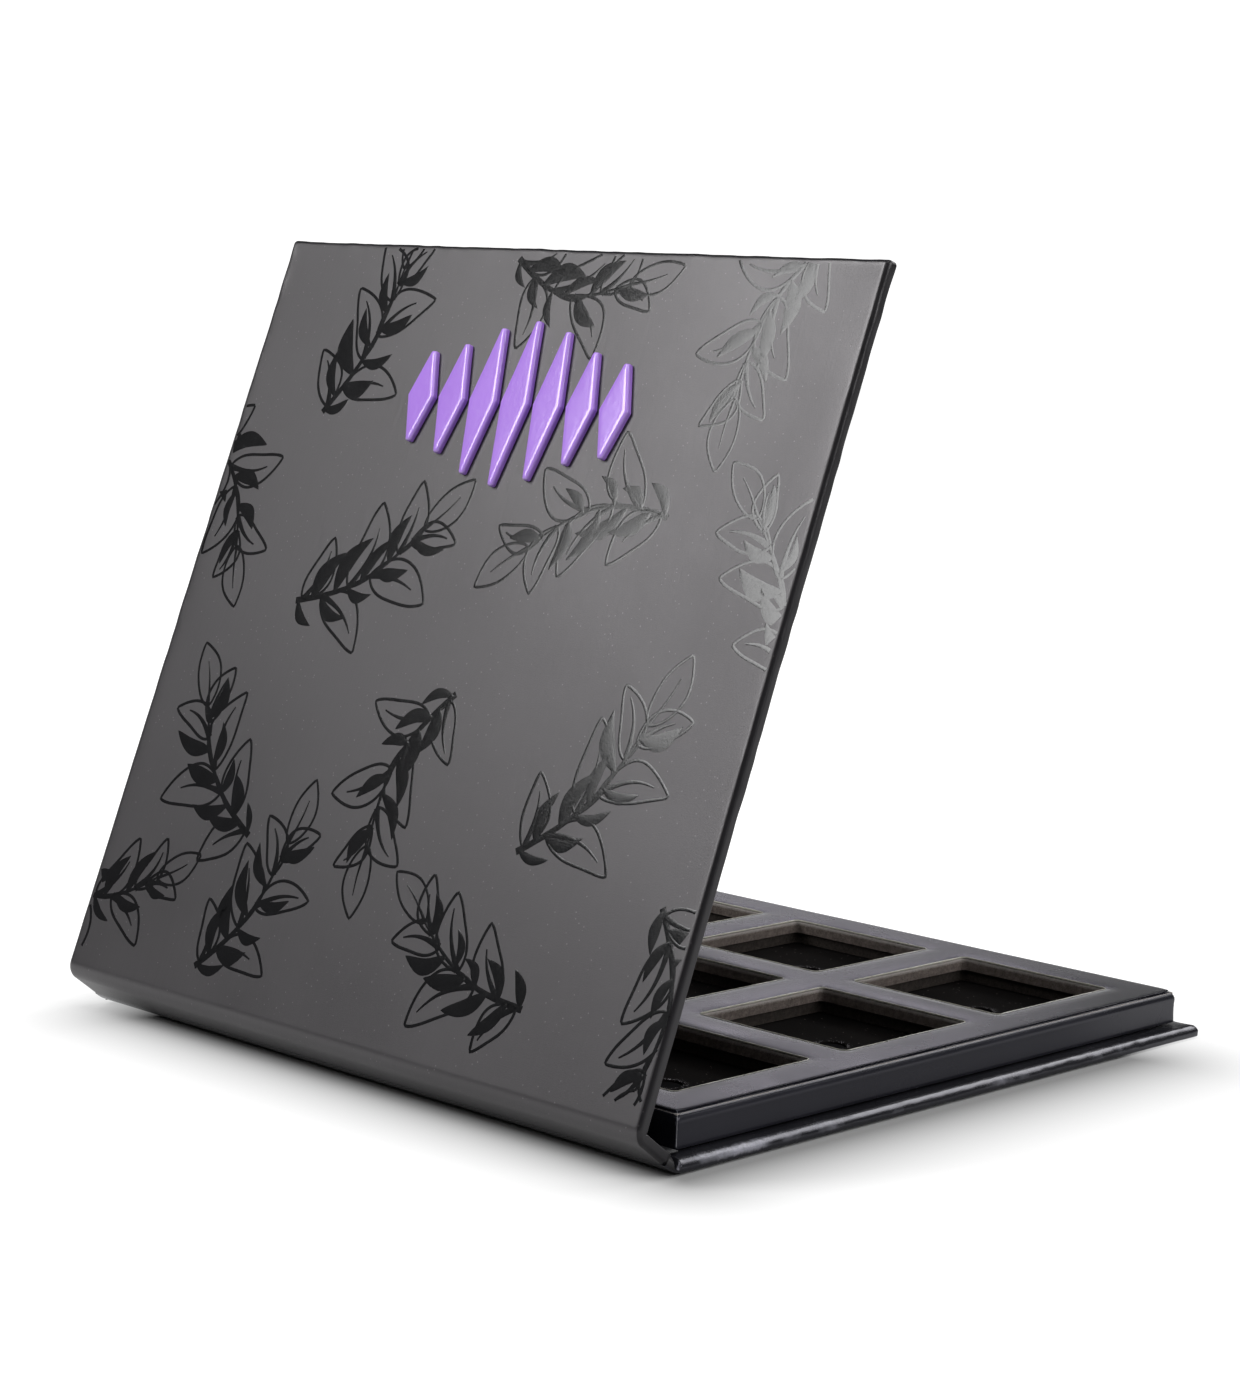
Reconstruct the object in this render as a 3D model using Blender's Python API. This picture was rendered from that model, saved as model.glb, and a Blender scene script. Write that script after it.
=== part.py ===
"""Magnetic make-up palette: a book-shaped greyboard case with a tray of nine square wells.

Blender 4.5, metres, +Z up. The front edge faces -Y, the spine is at +Y and the user's
right is +X. The origin is the middle of the base's underside. The case stands open:
the spine and the lid are parented to empties on their two fold lines.
"""

import math

import bmesh
import bpy
from mathutils import Matrix, Vector

# Sheet materials
PAPER = 0.0002
COVER_BOARD = 0.0012
FLOOR_BOARD = 0.0008
LOWER_FRAME_BOARD = 0.0017
UPPER_FRAME_BOARD = 0.0019
GLUE_LINE = 0.0002

# Wells and tray
WELL_COUNT = 3
WELL_SIDE = 0.029
WELL_BAR = 0.0077
WELL_CORNER = 0.0009
LOWER_WINDOW_EASE = 0.0004
TRAY_MARGIN = 0.008
TRAY_BOARD_CORNER = 0.0003
SIDE_OVERHANG = 0.0033
FRONT_OVERHANG = 0.0023
REAR_SETBACK = 0.0033

# Case covers
TURN_IN = 0.012
COVER_BOARD_EDGE = 0.0004
COVER_BOARD_CORNER = 0.0012
FOLD_EASE = 0.0002
CLOSED_CLEARANCE = 0.0002
LINER_MARGIN = 0.0025
LINER_FOLD_SETBACK = 0.0005

# Magnets
PAN_MAGNET_DIAMETER = 0.004
PAN_MAGNET_THICKNESS = 0.0005
CLOSURE_MAGNET_DIAMETER = 0.005
CLOSURE_MAGNET_THICKNESS = 0.001
MAGNET_EASE = 0.0002

# Raised emblem on the lid
LOZENGE_COUNT = 7
LOZENGE_WIDTH = 0.0058
LOZENGE_GAP = 0.001
LOZENGE_LENGTH = 0.026
LOZENGE_TIP = 0.001
LOZENGE_RAISE = 0.0008
LOZENGE_BEVEL = 0.0003
END_LOZENGE_share = 0.56
EMBLEM_TO_FREE_EDGE = 0.012

# The pose that the case is kept in, each angle above the horizontal
SPINE_ANGLE = math.radians(37.0)
LID_ANGLE = math.radians(69.3)

# Facets of the rounded shapes
CORNER_STEPS = 4
EDGE_STEPS = 3
FOLD_STEPS = 8
ROUND_SIDES = 24
CUT_OVERRUN = 0.001
SMOOTH_ANGLE = math.radians(35.0)

# Sizes that follow from those above
WELL_PITCH = WELL_SIDE + WELL_BAR
TRAY_SIDE = WELL_COUNT * WELL_SIDE + (WELL_COUNT - 1) * WELL_BAR + 2 * TRAY_MARGIN
COVER_WIDTH = TRAY_SIDE + 2 * SIDE_OVERHANG
COVER_DEPTH = TRAY_SIDE + FRONT_OVERHANG + REAR_SETBACK
LAYER = PAPER + GLUE_LINE
TRAY_CORNER = TRAY_BOARD_CORNER + LAYER
WRAP_EDGE = COVER_BOARD_EDGE + LAYER
WRAP_CORNER = COVER_BOARD_CORNER + LAYER
COVER_THICKNESS = COVER_BOARD + 2 * LAYER
LINED_THICKNESS = COVER_THICKNESS + LAYER
FOLD_CHANNEL = COVER_THICKNESS + FOLD_EASE

FLOOR_BOTTOM = COVER_THICKNESS + GLUE_LINE
FLOOR_TOP = FLOOR_BOTTOM + FLOOR_BOARD
LOWER_FRAME_BOTTOM = FLOOR_TOP + GLUE_LINE
LOWER_FRAME_TOP = LOWER_FRAME_BOTTOM + LOWER_FRAME_BOARD
UPPER_FRAME_BOTTOM = LOWER_FRAME_TOP + GLUE_LINE
UPPER_FRAME_TOP = UPPER_FRAME_BOTTOM + UPPER_FRAME_BOARD
TOP_SHEET_BOTTOM = UPPER_FRAME_TOP + GLUE_LINE
TRAY_TOP = TOP_SHEET_BOTTOM + PAPER

FOLD_LINE_Y = COVER_DEPTH / 2
TRAY_CENTRE_Y = FOLD_LINE_Y - REAR_SETBACK - TRAY_SIDE / 2
SPINE_LENGTH = TRAY_TOP + CLOSED_CLEARANCE + LINED_THICKNESS

# Name, colour, roughness and metallic value of each material
FINISHES = {
    "soft_touch_paper": ((0.075, 0.073, 0.080), 0.55, 0.0),
    "black_satin_paper": ((0.035, 0.036, 0.045), 0.38, 0.0),
    "black_liner_paper": ((0.018, 0.018, 0.020), 0.60, 0.0),
    "greyboard": ((0.165, 0.135, 0.120), 0.90, 0.0),
    "black_card": ((0.012, 0.011, 0.011), 0.50, 0.0),
    "dark_magnet": ((0.020, 0.020, 0.022), 0.35, 0.9),
    "nickel": ((0.550, 0.540, 0.520), 0.25, 1.0),
    "violet_gel": ((0.440, 0.230, 0.850), 0.15, 0.0),
}


def clear_scene():
    for obj in list(bpy.data.objects):
        bpy.data.objects.remove(obj, do_unlink=True)


def make_material(name):
    colour, roughness, metallic = FINISHES[name]
    material = bpy.data.materials.new(name)
    material.use_nodes = True
    shader = material.node_tree.nodes["Principled BSDF"]
    shader.inputs["Base Color"].default_value = (*colour, 1.0)
    shader.inputs["Roughness"].default_value = roughness
    shader.inputs["Metallic"].default_value = metallic
    material.diffuse_color = (*colour, 1.0)
    return material


def add_piece(name, bm, finish, parent=None, place=None):
    """Puts the bmesh into an object with its own material, set in its parent's frame."""
    bmesh.ops.recalc_face_normals(bm, faces=bm.faces)
    mesh = bpy.data.meshes.new(name)
    bm.to_mesh(mesh)
    bm.free()
    obj = bpy.data.objects.new(name, mesh)
    bpy.context.scene.collection.objects.link(obj)
    obj.parent = parent
    if place is not None:
        obj.matrix_local = place
    if finish:
        material = make_material(finish)
        material.name = name + "_" + finish
        mesh.materials.append(material)
    return obj


def add_cutter(name, bm, parent=None, place=None):
    cutter = add_piece(name, bm, None, parent, place)
    cutter.hide_render = True
    cutter.display_type = "WIRE"
    return cutter


def cut(obj, cutter):
    boolean = obj.modifiers.new(cutter.name, "BOOLEAN")
    boolean.operation = "DIFFERENCE"
    boolean.solver = "EXACT"
    boolean.object = cutter


def add_box(bm, low, high):
    """Adds an upright box to the bmesh and gives back its vertices."""
    low, high = Vector(low), Vector(high)
    size = Matrix.Diagonal((*(high - low), 1.0))
    place = Matrix.Translation((low + high) / 2) @ size
    return bmesh.ops.create_cube(bm, size=1.0, matrix=place)["verts"]


def bevel_edges(bm, edges, radius, steps):
    bmesh.ops.bevel(
        bm,
        geom=edges,
        offset=radius,
        offset_type="OFFSET",
        segments=steps,
        profile=0.5,
        affect="EDGES",
        clamp_overlap=False,
    )


def upright_edges(verts):
    edges = {edge for vert in verts for edge in vert.link_edges}
    return [e for e in edges if abs(e.verts[0].co.z - e.verts[1].co.z) > PAPER / 2]


def rounded_plate(half_x, half_y, bottom, top, corner):
    """A flat plate about the Z axis, its upright corners rounded."""
    bm = bmesh.new()
    verts = add_box(bm, (-half_x, -half_y, bottom), (half_x, half_y, top))
    bevel_edges(bm, upright_edges(verts), corner, CORNER_STEPS)
    return bm


def add_disc(bm, centre, radius, bottom, top):
    place = Matrix.Translation((centre[0], centre[1], (bottom + top) / 2))
    bmesh.ops.create_cone(
        bm,
        cap_ends=True,
        segments=ROUND_SIDES,
        radius1=radius,
        radius2=radius,
        depth=top - bottom,
        matrix=place,
    )


def shade_round(obj):
    obj.data.shade_smooth()
    obj.data.set_sharp_from_angle(angle=SMOOTH_ANGLE)


def well_centres():
    """The middle of each well in the tray's own frame, row by row from the front left."""
    first = -(WELL_COUNT - 1) * WELL_PITCH / 2
    steps = [first + index * WELL_PITCH for index in range(WELL_COUNT)]
    return [(x, y) for y in steps for x in steps]


def closure_centres():
    """The two closure magnets, in the tray's front margin in line with the bars."""
    y = -TRAY_SIDE / 2 + TRAY_MARGIN / 2
    return {"left": (-WELL_PITCH / 2, y), "right": (WELL_PITCH / 2, y)}


def in_tray():
    return Matrix.Translation((0, TRAY_CENTRE_Y, 0))


# A cover panel lies in its own frame: +Y from its fold line, its outer face at z = 0


def cover_slab(start, end, inset, free_end):
    """The panel's outer shape drawn in by inset, with its sides and free end rounded."""
    bm = bmesh.new()
    half = COVER_WIDTH / 2 - inset
    far = end - inset if free_end else end
    low = (-half, start, inset)
    high = (half, far, COVER_THICKNESS - inset)
    verts = add_box(bm, low, high)
    middle = (start + far) / 2
    if free_end:
        corners = [e for e in upright_edges(verts) if e.verts[0].co.y > middle]
        bevel_edges(bm, corners, WRAP_CORNER - inset, CORNER_STEPS)
    closed_ends = [start] if free_end else [start, far]
    rims = []
    for edge in bm.edges:
        a, b = edge.verts[0].co, edge.verts[1].co
        level = abs(a.z - b.z) < PAPER / 2
        at_cut_end = any(
            abs(a.y - y) < PAPER / 2 and abs(b.y - y) < PAPER / 2 for y in closed_ends
        )
        if level and not at_cut_end:
            rims.append(edge)
    bevel_edges(bm, rims, WRAP_EDGE - inset, EDGE_STEPS)
    return bm


def cover_wrap(name, start, end, free_end, finish, parent, place):
    """Outer paper: under the board, round its sides and turned in over its inner face."""
    wrap = add_piece(name, cover_slab(start, end, 0, free_end), finish, parent, place)
    past_start = start - CUT_OVERRUN
    past_end = end if free_end else end + CUT_OVERRUN
    hollow = cover_slab(past_start, past_end, PAPER, free_end)
    cut(wrap, add_cutter(name + "_hollow_cutter", hollow, parent, place))
    window = bmesh.new()
    half = COVER_WIDTH / 2 - TURN_IN
    far = end - TURN_IN if free_end else past_end
    low = (-half, past_start, COVER_THICKNESS / 2)
    high = (half, far, COVER_THICKNESS + CUT_OVERRUN)
    add_box(window, low, high)
    cut(wrap, add_cutter(name + "_window_cutter", window, parent, place))
    shade_round(wrap)
    return wrap


def cover_board(name, start, end, free_end, parent, place):
    slab = cover_slab(start, end, LAYER, free_end)
    return add_piece(name, slab, "greyboard", parent, place)


def cover_liner(name, start, end, parent, place):
    bm = bmesh.new()
    half = COVER_WIDTH / 2 - LINER_MARGIN
    add_box(bm, (-half, start, COVER_THICKNESS + GLUE_LINE), (half, end, LINED_THICKNESS))
    return add_piece(name, bm, "black_liner_paper", parent, place)


def fold_paper(name, bend, parent, place):
    """The wrap and the liner, pasted together, where they bend across a fold line.

    The outer face is an arc tangent to both panels' outer faces, and the inner face is
    the same arc drawn in by the two papers' thickness. The frame is that of the panel
    before the fold, with the fold line at its origin.
    """
    reach = FOLD_CHANNEL - GLUE_LINE
    radius = reach / math.tan(bend / 2)
    outline = []
    for depth, order in ((0, range(FOLD_STEPS + 1)), (2 * PAPER, range(FOLD_STEPS, -1, -1))):
        for step in order:
            turn = bend * step / FOLD_STEPS
            y = -reach + (radius - depth) * math.sin(turn)
            z = radius - (radius - depth) * math.cos(turn)
            outline.append((y, z))
    bm = bmesh.new()
    left = [bm.verts.new((-COVER_WIDTH / 2, y, z)) for y, z in outline]
    face = bm.faces.new(left)
    moved = bmesh.ops.extrude_face_region(bm, geom=[face])["geom"]
    verts = [item for item in moved if isinstance(item, bmesh.types.BMVert)]
    bmesh.ops.translate(bm, vec=(COVER_WIDTH, 0, 0), verts=verts)
    strip = add_piece(name, bm, "soft_touch_paper", parent, place)
    shade_round(strip)
    return strip


def fold_empty(name, parent, place):
    empty = bpy.data.objects.new(name, None)
    bpy.context.scene.collection.objects.link(empty)
    empty.parent = parent
    empty.matrix_local = place
    return empty


def make_base():
    """The base panel runs from the rear fold line to the front edge."""
    place = Matrix.Translation((0, FOLD_LINE_Y, 0)) @ Matrix.Rotation(math.pi, 4, "Z")
    cover_wrap(
        "base_wrap", FOLD_CHANNEL, COVER_DEPTH, True, "black_satin_paper", None, place
    )
    cover_board("base_board", FOLD_CHANNEL, COVER_DEPTH, True, None, place)


def window_cutter(name, ease, bottom, top):
    """Nine rounded blocks, one through each well."""
    bm = bmesh.new()
    half = WELL_SIDE / 2 + ease
    for x, y in well_centres():
        low = (x - half, y - half, bottom - CUT_OVERRUN)
        high = (x + half, y + half, top + CUT_OVERRUN)
        verts = add_box(bm, low, high)
        bevel_edges(bm, upright_edges(verts), WELL_CORNER, CORNER_STEPS)
    return add_cutter(name, bm, None, in_tray())


def make_frame(name, bottom, top, ease):
    half = TRAY_SIDE / 2 - LAYER
    plate = rounded_plate(half, half, bottom, top, TRAY_BOARD_CORNER)
    frame = add_piece(name, plate, "greyboard", None, in_tray())
    cut(frame, window_cutter(name + "_window_cutter", ease, bottom, top))
    return frame


def make_floor():
    half = TRAY_SIDE / 2 - LAYER
    plate = rounded_plate(half, half, FLOOR_BOTTOM, FLOOR_TOP, TRAY_BOARD_CORNER)
    floor = add_piece("well_floor", plate, "black_card", None, in_tray())
    holes = bmesh.new()
    radius = PAN_MAGNET_DIAMETER / 2 + MAGNET_EASE
    for centre in well_centres():
        add_disc(
            holes, centre, radius, FLOOR_BOTTOM - CUT_OVERRUN, FLOOR_TOP + CUT_OVERRUN
        )
    cut(floor, add_cutter("well_floor_hole_cutter", holes, None, in_tray()))


def make_pan_magnets():
    for number, centre in enumerate(well_centres(), start=1):
        bm = bmesh.new()
        top = FLOOR_BOTTOM + PAN_MAGNET_THICKNESS
        add_disc(bm, centre, PAN_MAGNET_DIAMETER / 2, FLOOR_BOTTOM, top)
        magnet = add_piece(f"pan_magnet_{number}", bm, "dark_magnet", None, in_tray())
        shade_round(magnet)


def make_upper_frame():
    """The upper frame has two pockets for the closure magnets, open at the top."""
    frame = make_frame("upper_frame", UPPER_FRAME_BOTTOM, UPPER_FRAME_TOP, 0)
    pockets = bmesh.new()
    radius = CLOSURE_MAGNET_DIAMETER / 2 + MAGNET_EASE
    floor = UPPER_FRAME_TOP - CLOSURE_MAGNET_THICKNESS - GLUE_LINE
    for centre in closure_centres().values():
        add_disc(pockets, centre, radius, floor, UPPER_FRAME_TOP + CUT_OVERRUN)
    cut(frame, add_cutter("upper_frame_pocket_cutter", pockets, None, in_tray()))
    for side, centre in closure_centres().items():
        bm = bmesh.new()
        bottom = UPPER_FRAME_TOP - CLOSURE_MAGNET_THICKNESS
        add_disc(bm, centre, CLOSURE_MAGNET_DIAMETER / 2, bottom, UPPER_FRAME_TOP)
        magnet = add_piece(
            f"tray_closure_magnet_{side}", bm, "nickel", None, in_tray()
        )
        shade_round(magnet)


def make_tray_papers():
    """The band round the tray's sides, and the sheet over its top and the band's edge."""
    half = TRAY_SIDE / 2
    band = rounded_plate(half, half, FLOOR_BOTTOM, UPPER_FRAME_TOP, TRAY_CORNER)
    side = add_piece("tray_side_wrap", band, "black_satin_paper", None, in_tray())
    core = rounded_plate(
        half - PAPER,
        half - PAPER,
        FLOOR_BOTTOM - CUT_OVERRUN,
        UPPER_FRAME_TOP + CUT_OVERRUN,
        TRAY_CORNER - PAPER,
    )
    cut(side, add_cutter("tray_side_wrap_core_cutter", core, None, in_tray()))
    sheet = rounded_plate(half, half, TOP_SHEET_BOTTOM, TRAY_TOP, TRAY_CORNER)
    top = add_piece("tray_top_sheet", sheet, "black_satin_paper", None, in_tray())
    windows = window_cutter("tray_top_sheet_window_cutter", 0, TOP_SHEET_BOTTOM, TRAY_TOP)
    cut(top, windows)
    shade_round(side)


def make_spine(fold):
    place = Matrix.Identity(4)
    end = SPINE_LENGTH - FOLD_CHANNEL
    cover_wrap("spine_wrap", FOLD_CHANNEL, end, False, "soft_touch_paper", fold, place)
    cover_board("spine_board", FOLD_CHANNEL, end, False, fold, place)
    start = FOLD_CHANNEL + LINER_FOLD_SETBACK
    cover_liner("spine_liner", start, end - LINER_FOLD_SETBACK, fold, place)


def lid_closure_y():
    """The lid's closure magnets lie over the tray's when the case is shut."""
    front = TRAY_CENTRE_Y + closure_centres()["left"][1]
    return FOLD_LINE_Y - front


def make_lid(fold):
    place = Matrix.Identity(4)
    cover_wrap("lid_wrap", FOLD_CHANNEL, COVER_DEPTH, True, "soft_touch_paper", fold, place)
    board = cover_board("lid_board", FOLD_CHANNEL, COVER_DEPTH, True, fold, place)
    pockets = bmesh.new()
    bottom, top = LAYER, LAYER + CLOSURE_MAGNET_THICKNESS
    radius = CLOSURE_MAGNET_DIAMETER / 2
    for side, (x, _) in closure_centres().items():
        centre = (x, lid_closure_y())
        add_disc(
            pockets, centre, radius + MAGNET_EASE, bottom - CUT_OVERRUN, top + CUT_OVERRUN
        )
        bm = bmesh.new()
        add_disc(bm, centre, radius, bottom, top)
        magnet = add_piece(f"lid_closure_magnet_{side}", bm, "nickel", fold, place)
        shade_round(magnet)
    cut(board, add_cutter("lid_board_pocket_cutter", pockets, fold, place))
    start = FOLD_CHANNEL + LINER_FOLD_SETBACK
    cover_liner("lid_liner", start, COVER_DEPTH - LINER_MARGIN, fold, place)


def make_emblem(fold):
    """A row of lozenges on the lid's outer face, longest in the middle, each a gel drop.

    A lozenge's outline is a six-sided diamond with blunt tips, and its outer rim is
    bevelled. Its length falls off as a cosine from the row's middle to its ends.
    """
    middle = (LOZENGE_COUNT - 1) / 2
    centre_y = COVER_DEPTH - EMBLEM_TO_FREE_EDGE - LOZENGE_LENGTH / 2
    for index in range(LOZENGE_COUNT):
        offset = index - middle
        fall = 0.5 - 0.5 * math.cos(math.pi * offset / max(middle, 1))
        half = LOZENGE_LENGTH / 2 * (1 - (1 - END_LOZENGE_share) * fall)
        x = offset * (LOZENGE_WIDTH + LOZENGE_GAP)
        wide, tip = LOZENGE_WIDTH / 2, LOZENGE_TIP / 2
        corners = [(wide, 0), (tip, half), (-tip, half), (-wide, 0), (-tip, -half), (tip, -half)]
        bm = bmesh.new()
        foot = -GLUE_LINE
        rim = [bm.verts.new((x + cx, centre_y + cy, foot)) for cx, cy in corners]
        face = bm.faces.new(rim)
        moved = bmesh.ops.extrude_face_region(bm, geom=[face])["geom"]
        verts = [item for item in moved if isinstance(item, bmesh.types.BMVert)]
        bmesh.ops.translate(bm, vec=(0, 0, -LOZENGE_RAISE), verts=verts)
        outer = [
            edge
            for edge in bm.edges
            if all(vert.co.z < foot - LOZENGE_RAISE / 2 for vert in edge.verts)
        ]
        bevel_edges(bm, outer, LOZENGE_BEVEL, EDGE_STEPS)
        add_piece(f"lid_lozenge_{index + 1}", bm, "violet_gel", fold, Matrix.Identity(4))


def main():
    clear_scene()
    make_base()
    make_floor()
    make_pan_magnets()
    make_frame("lower_frame", LOWER_FRAME_BOTTOM, LOWER_FRAME_TOP, LOWER_WINDOW_EASE)
    make_upper_frame()
    make_tray_papers()
    base_end = Matrix.Translation((0, FOLD_LINE_Y, 0))
    lower_fold = fold_empty(
        "lower_fold_line", None, base_end @ Matrix.Rotation(SPINE_ANGLE, 4, "X")
    )
    fold_paper("lower_fold_paper", SPINE_ANGLE, None, base_end)
    make_spine(lower_fold)
    lid_bend = math.pi - SPINE_ANGLE - LID_ANGLE
    spine_end = Matrix.Translation((0, SPINE_LENGTH, 0))
    upper_fold = fold_empty(
        "upper_fold_line", lower_fold, spine_end @ Matrix.Rotation(lid_bend, 4, "X")
    )
    fold_paper("upper_fold_paper", lid_bend, lower_fold, spine_end)
    make_lid(upper_fold)
    make_emblem(upper_fold)


main()
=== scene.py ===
"""The looks of a magnetic make-up palette: a book-shaped case of paper over greyboard.

Metres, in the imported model's frame: the base lies on the floor, its front edge at -Y, the
spine at +Y. Lengths below are in millimetres and are turned into metres as meshes are made.
"""

import math

import bpy
import numpy as np
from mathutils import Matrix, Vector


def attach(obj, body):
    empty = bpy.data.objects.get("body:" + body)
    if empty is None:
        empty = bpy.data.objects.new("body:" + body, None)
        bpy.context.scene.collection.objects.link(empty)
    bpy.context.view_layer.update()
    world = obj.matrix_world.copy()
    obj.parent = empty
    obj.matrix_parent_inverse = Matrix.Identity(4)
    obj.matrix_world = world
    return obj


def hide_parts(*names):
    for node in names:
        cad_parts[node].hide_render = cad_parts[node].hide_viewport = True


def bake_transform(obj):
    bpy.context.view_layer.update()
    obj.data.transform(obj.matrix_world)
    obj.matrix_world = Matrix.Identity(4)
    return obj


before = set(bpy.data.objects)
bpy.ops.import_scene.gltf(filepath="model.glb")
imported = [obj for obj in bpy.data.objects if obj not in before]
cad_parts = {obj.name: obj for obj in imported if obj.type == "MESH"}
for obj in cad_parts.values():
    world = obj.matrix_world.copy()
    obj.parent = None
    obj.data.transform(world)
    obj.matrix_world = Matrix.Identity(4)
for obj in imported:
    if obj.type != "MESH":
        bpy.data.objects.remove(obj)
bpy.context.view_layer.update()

MM = 0.001

# Camera, worked out from the photograph's straight edges
CAMERA_PLACE = (-335.43, 362.15, 119.14)
CAMERA_FORWARD = (0.68394, -0.71679, -0.13579)
CAMERA_RIGHT = (-0.71956, -0.69348, 0.03632)
CAMERA_LENS = 80.86
SENSOR = 36.0

# Studio: azimuths in degrees from +X towards +Y, lengths of the backdrop in mm
ROOM_STRENGTH = 0.14
FLOOR_ALBEDO = 0.28
# The footprint's oblong and the glow's length and power shape the painted contact shadow round the
# case.
FOOTPRINT_CENTRE = (-7.1, 10.45)
FOOTPRINT_HALF = (57.05, 51.7)
GLOW_LENGTH = 15.8
GLOW_POWER = 1.07
GLOW_REACH = (5000.0, 6000.0)
GLOW_AHEAD = (0.69, -0.72, 0.0)
GLOW_AHEAD_RISE = (0.0, 150.0)
BACKDROP_REACH = 3000.0
BACKDROP_HEIGHT = 440.0
BACKDROP_SPAN = (-110.0, -15.0)
FLOOR_REACH, FLOOR_DROP = 6000.0, 0.2
# Name, azimuth, elevation, distance and size in metres, radiance, turn, tint
SOFTBOXES = [
    ("key_softbox", 51.7, 39.2, 1.1, (0.325, 0.665), 12.1, 5.4),
    ("fill_softbox", 130, 66, 1.2, (0.8, 0.5), 4.5, 0),
    ("side_softbox", 194, 28, 1.2, (0.6, 0.5), 8.0, 0),
    ("edge_softbox", 255, 37, 1.2, (0.68, 0.33), 6.5, 0),
    ("tray_softbox", 307.4, 15.6, 1.2, (0.217, 0.1), 2.1, -18, (0.925, 0.868, 1.0)),
]

# Case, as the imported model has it
HALF_WIDTH = 62.5
FOLD_Y = 62.0
PANEL_LENGTH = 124.0
SPINE_LENGTH = 10.0
SPINE_ANGLE = math.radians(37.0)
LID_BEND = math.radians(73.7)
FOLD_REACH = 2.0
PAPER = 0.2
GLUE = 0.2
BOARD_HEIGHT = 2.0
LOWER_PINCH, UPPER_PINCH = 0.4, 1.6
PINCH_REACH = 1.05
LID_ROUNDING = ((0.85, 0.85), (0.3, 0.3), 0.0)
BASE_ROUNDING = ((0.3, 0.3), (1.4, 0.95), math.radians(35.0))
CORNER_RADIUS = 0.7
SINK = 0.07
EDGE_SINK = 0.06
TURN_IN = 12.0
CASE_SEED = 21
LINER_MARGIN = 2.5
RIM_ZONE = 13.0
BLEND_REACH = 1.1
BASE_LEAD = 2.6
LID_LEAD = SPINE_LENGTH - BASE_LEAD

# Tray
TRAY_HALF = 59.2
TRAY_CENTRE_Y = -0.5
TRAY_CORNER = 0.7
WELL_HALF = 14.5
WELL_CORNER = 0.9
WELL_PITCH = 36.7
SHEET_BOTTOM = 7.2
SHEET_TOP = 7.4
BAND_BOTTOM = 2.2
SHOULDER_RADIUS = 1.3
SHOULDER_TOP = 7.18
FLOOR_BOTTOM = 2.2
FLOOR_TOP = 3.0
HOLE_RADIUS = 2.2

# Emblem
LOZENGE_COUNT = 7
LOZENGE_WIDTH = 5.8
LOZENGE_PITCH = 6.8
LOZENGE_LENGTH = 26.0
LOZENGE_TIP = 1.0
LOZENGE_RAISE = 1.0
LOZENGE_ROUND = 0.35
END_LOZENGE_SHARE = 0.56
EMBLEM_CENTRE = PANEL_LENGTH - 12.0 - LOZENGE_LENGTH / 2

WELD_STEP, WELD_SHIFT = 1e-7, 0.37
SMOOTH_ANGLE = math.radians(33.0)
NOISE_SPAN = (0.3, 0.7)


# ---- numbers ----


def smooth_step(value, low, high):
    """0 below low, 1 above high, and the cubic 3t2 - 2t3 between them."""
    t = np.clip((value - low) / (high - low), 0, 1)
    return t * t * (3 - 2 * t)


def ripple(points, wavelength, seed, waves=14):
    """Smooth noise about 0: a sum of plane sine waves in random directions, near one wavelength."""
    rng = np.random.default_rng(seed)
    directions = rng.normal(size=(waves, 3))
    directions /= np.linalg.norm(directions, axis=1)[:, None]
    lengths = wavelength * rng.uniform(0.7, 1.6, waves)
    phases = rng.uniform(0, 2 * math.pi, waves)
    turns = points @ (directions / lengths[:, None]).T * 2 * math.pi + phases
    return np.sin(turns).sum(-1) / math.sqrt(waves)


def joined_steps(*spans):
    """One rising row of values from (start, end, count) spans that follow each other."""
    rows = [np.linspace(a, b, n, endpoint=False) for a, b, n in spans]
    return np.concatenate([*rows, [spans[-1][1]]])


# ---- meshes ----


def grid_quads(rows, columns, start, ring):
    """The faces of a grid of points that is stored row by row, closed across if it is a ring."""
    i, j = np.meshgrid(
        np.arange(rows - 1), np.arange(columns if ring else columns - 1), indexing="ij"
    )
    k = (j + 1) % columns
    quads = [i * columns + j, i * columns + k, (i + 1) * columns + k, (i + 1) * columns + j]
    return start + np.stack(quads, -1).reshape(-1, 4)


def weld(points, quads, values, parts):
    """Joins points of a part that share a place, and drops faces that have shrunk to a line."""
    keys = np.floor(points / WELD_STEP + WELD_SHIFT).astype(np.int64)
    keys = np.concatenate([keys, parts[:, None]], axis=1)
    _, first, shared = np.unique(keys, axis=0, return_index=True, return_inverse=True)
    quads = shared.reshape(-1)[quads]
    kept = quads != np.roll(quads, -1, axis=1)
    opposite = (quads[:, 0] != quads[:, 2]) & (quads[:, 1] != quads[:, 3])
    whole = quads[(kept.sum(1) == 4) & opposite]
    cut = (kept.sum(1) == 3) & opposite
    triangles = quads[cut][kept[cut]].reshape(-1, 3)
    return points[first], whole.tolist() + triangles.tolist(), values[first]


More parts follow.
